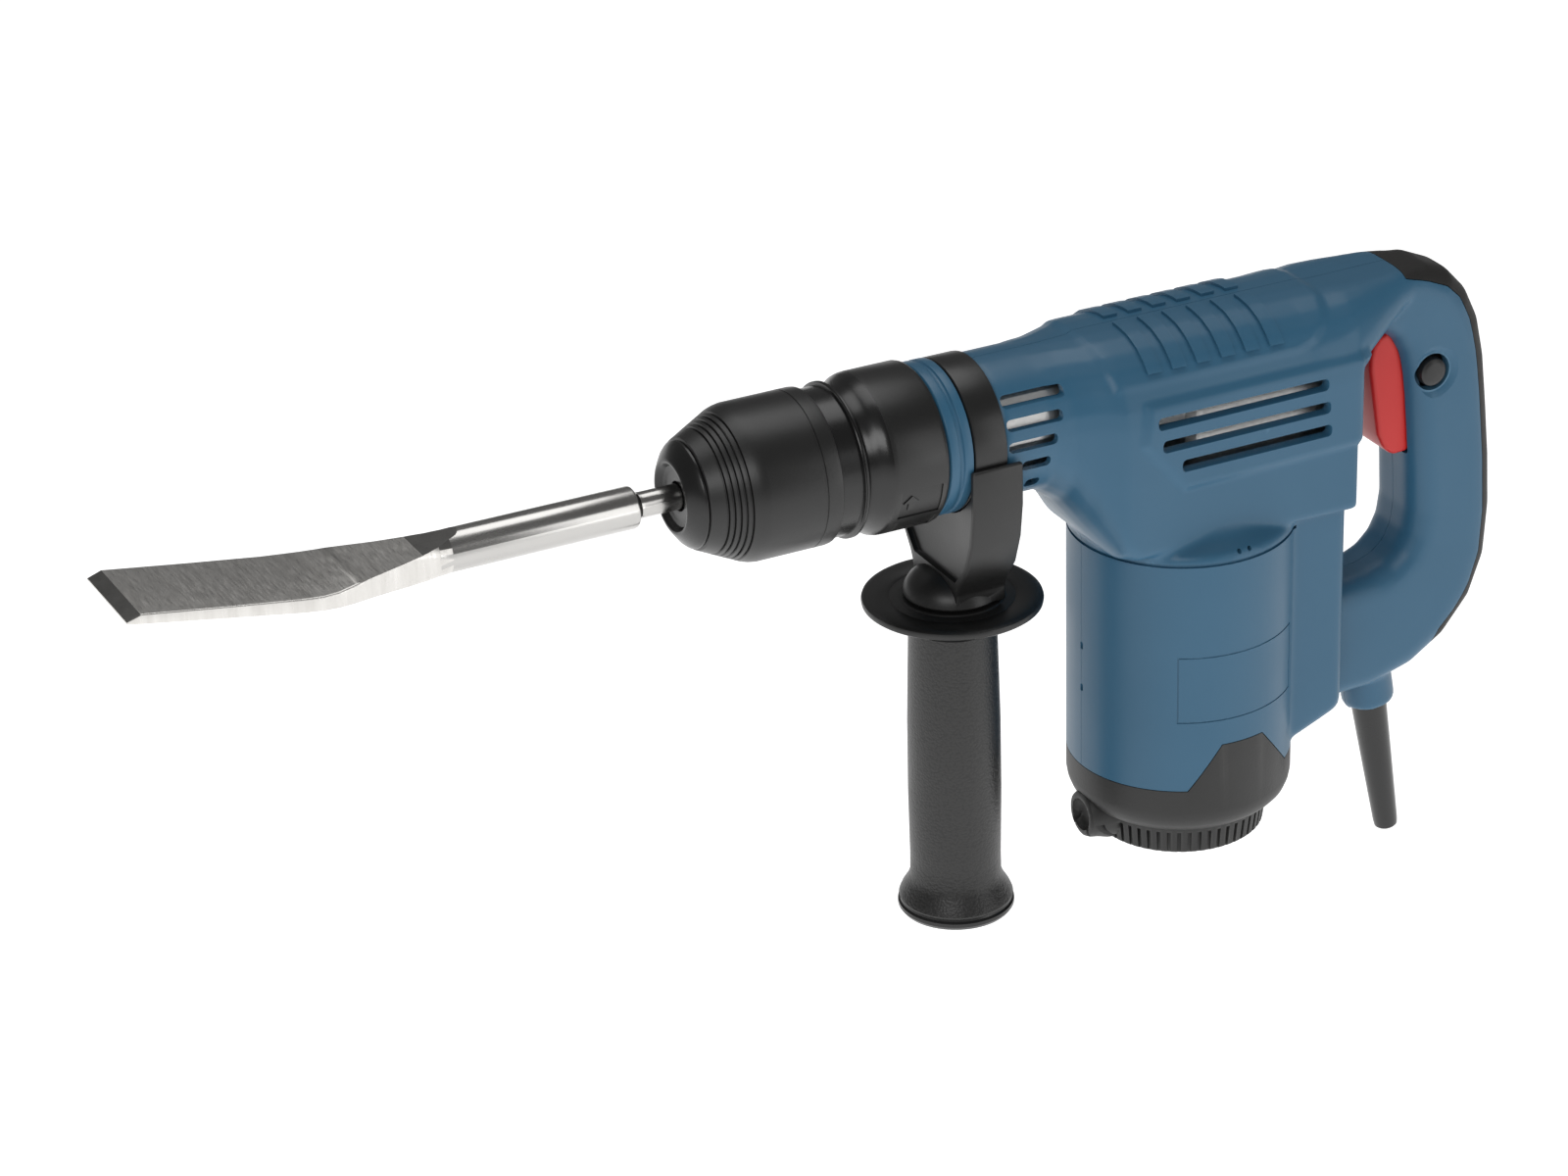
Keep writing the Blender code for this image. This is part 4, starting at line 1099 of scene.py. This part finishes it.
paintFaces(gripPiece, 1, lambda x, y, z, normal:
           grip["leatherLow"] < z < grip["leatherTop"] and math.hypot(x, y) > 10)
paintFaces(gripPiece, 2, lambda x, y, z, normal: z < grip["leatherLow"])
standFor(gripPiece, "side_grip", "black_plastic", "side_grip")
print("side handle made")

# chisel: shank, round body and a flat blade bent upwards
chisel = {
    # station, half width, half height, middle height, corner
    "rows": [(-204, 7.95, 7.95, 0, 7.7), (-209, 8.3, 7.7, 0.1, 6.4), (-214, 9.0, 7.3, 0.2, 4.6),
             (-222, 10.7, 6.3, 0.3, 2.6), (-230, 12.8, 5.2, 0.35, 1.6), (-238, 15.2, 4.3, 0.4, 1.1),
             (-246, 17.6, 3.6, 0.4, 0.9), (-252, 19.2, 3.1, 0.6, 0.8), (-258, 20, 2.85, 1.1, 0.7),
             (-266, 20, 2.7, 2.1, 0.6), (-292, 20, 2.3, 6.3, 0.5), (-324.5, 20, 1.95, 11.7, 0.5)],
    "tipLength": 5.2, "tipDrop": 0.6, "tipThin": 0.18,
    "shank": [(-67.4, 0), (-67.4, 4.4), (-68, 4.9), (-127.2, 4.9), (-128.6, 5.1), (-129.6, 5.8), (-130.2, 7.0),
              (-130.8, 7.7), (-131.6, 7.95), (-204.6, 7.95), (-204.6, 0)],
    "scoop": [(-196, 9.2), (-201, 7.2), (-208, 5.7), (-216, 4.9), (-226, 4.4), (-240, 4.1), (-252, 4.1),
              (-252, 16), (-196, 16)],
}
outlines = [addSection(at(x, 0, middle), high, wide, 0, corner, corner)
            for x, wide, high, middle, corner in chisel["rows"]]
bladePiece = skin("chiselBlade", outlines)
choose(bladePiece, lambda face: face.normal.x < -0.9, "polygons")
bpy.ops.mesh.extrude_region_move(
    TRANSFORM_OT_translate={"value": (-chisel["tipLength"] * mm, 0, -chisel["tipDrop"] * mm)})
bpy.ops.transform.resize(value=(1, 1, chisel["tipThin"]), center_override=at(-329.7, 0, 11.4))
bpy.ops.object.mode_set(mode="OBJECT")
chiselPiece = turnPiece("chiselTool", chisel["shank"], steps=96)
combine(chiselPiece, bladePiece, "UNION")
combine(chiselPiece, cutPlate("scoop", chisel["scoop"], -24, 24))
coat(smoothShade(chiselPiece, 24), bodySteel, bladeSteel, forgedSteel)
# ground blade, with dark forged steel in the scoop and on the tip's bevel
paintFaces(chiselPiece, 1, lambda x, y, z, normal: x < -206)
paintFaces(chiselPiece, 2, lambda x, y, z, normal:
           -218 < x < -196.2 and abs(y) < 9 and z > 4.2 and normal.z > 0.6)
paintFaces(chiselPiece, 2, lambda x, y, z, normal: x < -325.2 and normal.z > 0.2)
standFor(chiselPiece, "chisel", "tool_steel", "chisel")
print("chisel made")

# finishes of the nodes that stay as they are
finishOf = {
    "black_plastic": blackPlastic, "black_rubber": softBlack, "red_plastic": redPlastic,
    "blue_plastic": bluePlastic, "tool_steel": bodySteel, "machine_steel": machinedSteel,
    "cast_alloy": castAlloy, "laminated_iron": ironStack, "copper_wire": copperWire,
    "brass_holder": brassSheet, "carbon": carbonBlock, "white_plastic": whitePlastic}
slotOfNode = {part["node"]: part["material_slot"] for part in frame["record"]["subparts"]}
for name, node in frame["nodes"].items():
    if not node.hide_render:
        coat(node, finishOf[slotOfNode[name]])
        smoothShade(node, 32)
print("kept nodes coated", sorted(set(slotOfNode.values())))

# floor, lights and camera
studio = {
    "floorDrop": 0.35, "floorSize": 60.0, "floorColour": (0.93, 0.93, 0.93), "floorGlow": 0.85,
    "worldColour": (1, 1, 1), "worldStrength": 0.16,
    # name, where it stands, size, power
    "lamps": [("keyLamp", (-1.3, -1.5, 1.5), (1.4, 0.9), 17), ("topLamp", (0.1, 0.5, 1.9), (1.8, 1.2), 15),
              ("sideLamp", (1.3, -1.7, 0.6), (0.7, 1.5), 7)],
}
deselect()
bpy.ops.mesh.primitive_plane_add(size=studio["floorSize"], location=(0, 0, -studio["floorDrop"]))
floor = bpy.context.object
floor.name = "studioFloor"
floorMaterial, floorTree, floorShader, floorVector = startMaterial("floorPaper", 0.9, 0.0, 0.1)
floorShader.inputs["Base Color"].default_value = (*studio["floorColour"], 1)
floorShader.inputs["Emission Color"].default_value = (1, 1, 1, 1)
floorShader.inputs["Emission Strength"].default_value = studio["floorGlow"]
floor.data.materials.append(floorMaterial)
floor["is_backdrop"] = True
world = bpy.data.worlds.new("studioWorld")
world.use_nodes = True
world.node_tree.nodes["Background"].inputs["Color"].default_value = (*studio["worldColour"], 1)
world.node_tree.nodes["Background"].inputs["Strength"].default_value = studio["worldStrength"]
bpy.context.scene.world = world
middle = (cadLow + cadHigh) / 2
for name, where, size, power in studio["lamps"]:
    bpy.ops.object.light_add(type="AREA", location=where)
    lamp = bpy.context.object
    lamp.name = name
    lamp.data.shape = "RECTANGLE"
    lamp.data.size, lamp.data.size_y = size
    lamp.data.energy = power
    lamp.rotation_mode = "QUATERNION"
    lamp.rotation_quaternion = (middle - Vector(where)).to_track_quat("-Z", "Y")

view = {"place": (-0.7405, -1.4592, 0.9731), "right": (0.8916, -0.452, -0.0264),
        "up": (0.2207, 0.3829, 0.8971), "back": (-0.3954, -0.8057, 0.4411), "lens": 112.5}
bpy.ops.object.camera_add(location=view["place"])
camera = bpy.context.object
camera.rotation_mode = "QUATERNION"
camera.rotation_quaternion = Matrix((view["right"], view["up"], view["back"])).transposed().to_quaternion()
camera.data.lens = view["lens"]
camera.data.sensor_width = 36
bpy.context.scene.camera = camera
bpy.context.scene.view_settings.view_transform = "Standard"
deselect()

low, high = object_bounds()
print("size", [round(value, 4) for value in (*cadLow, *cadHigh)], [round(value, 4) for value in (*low, *high)])
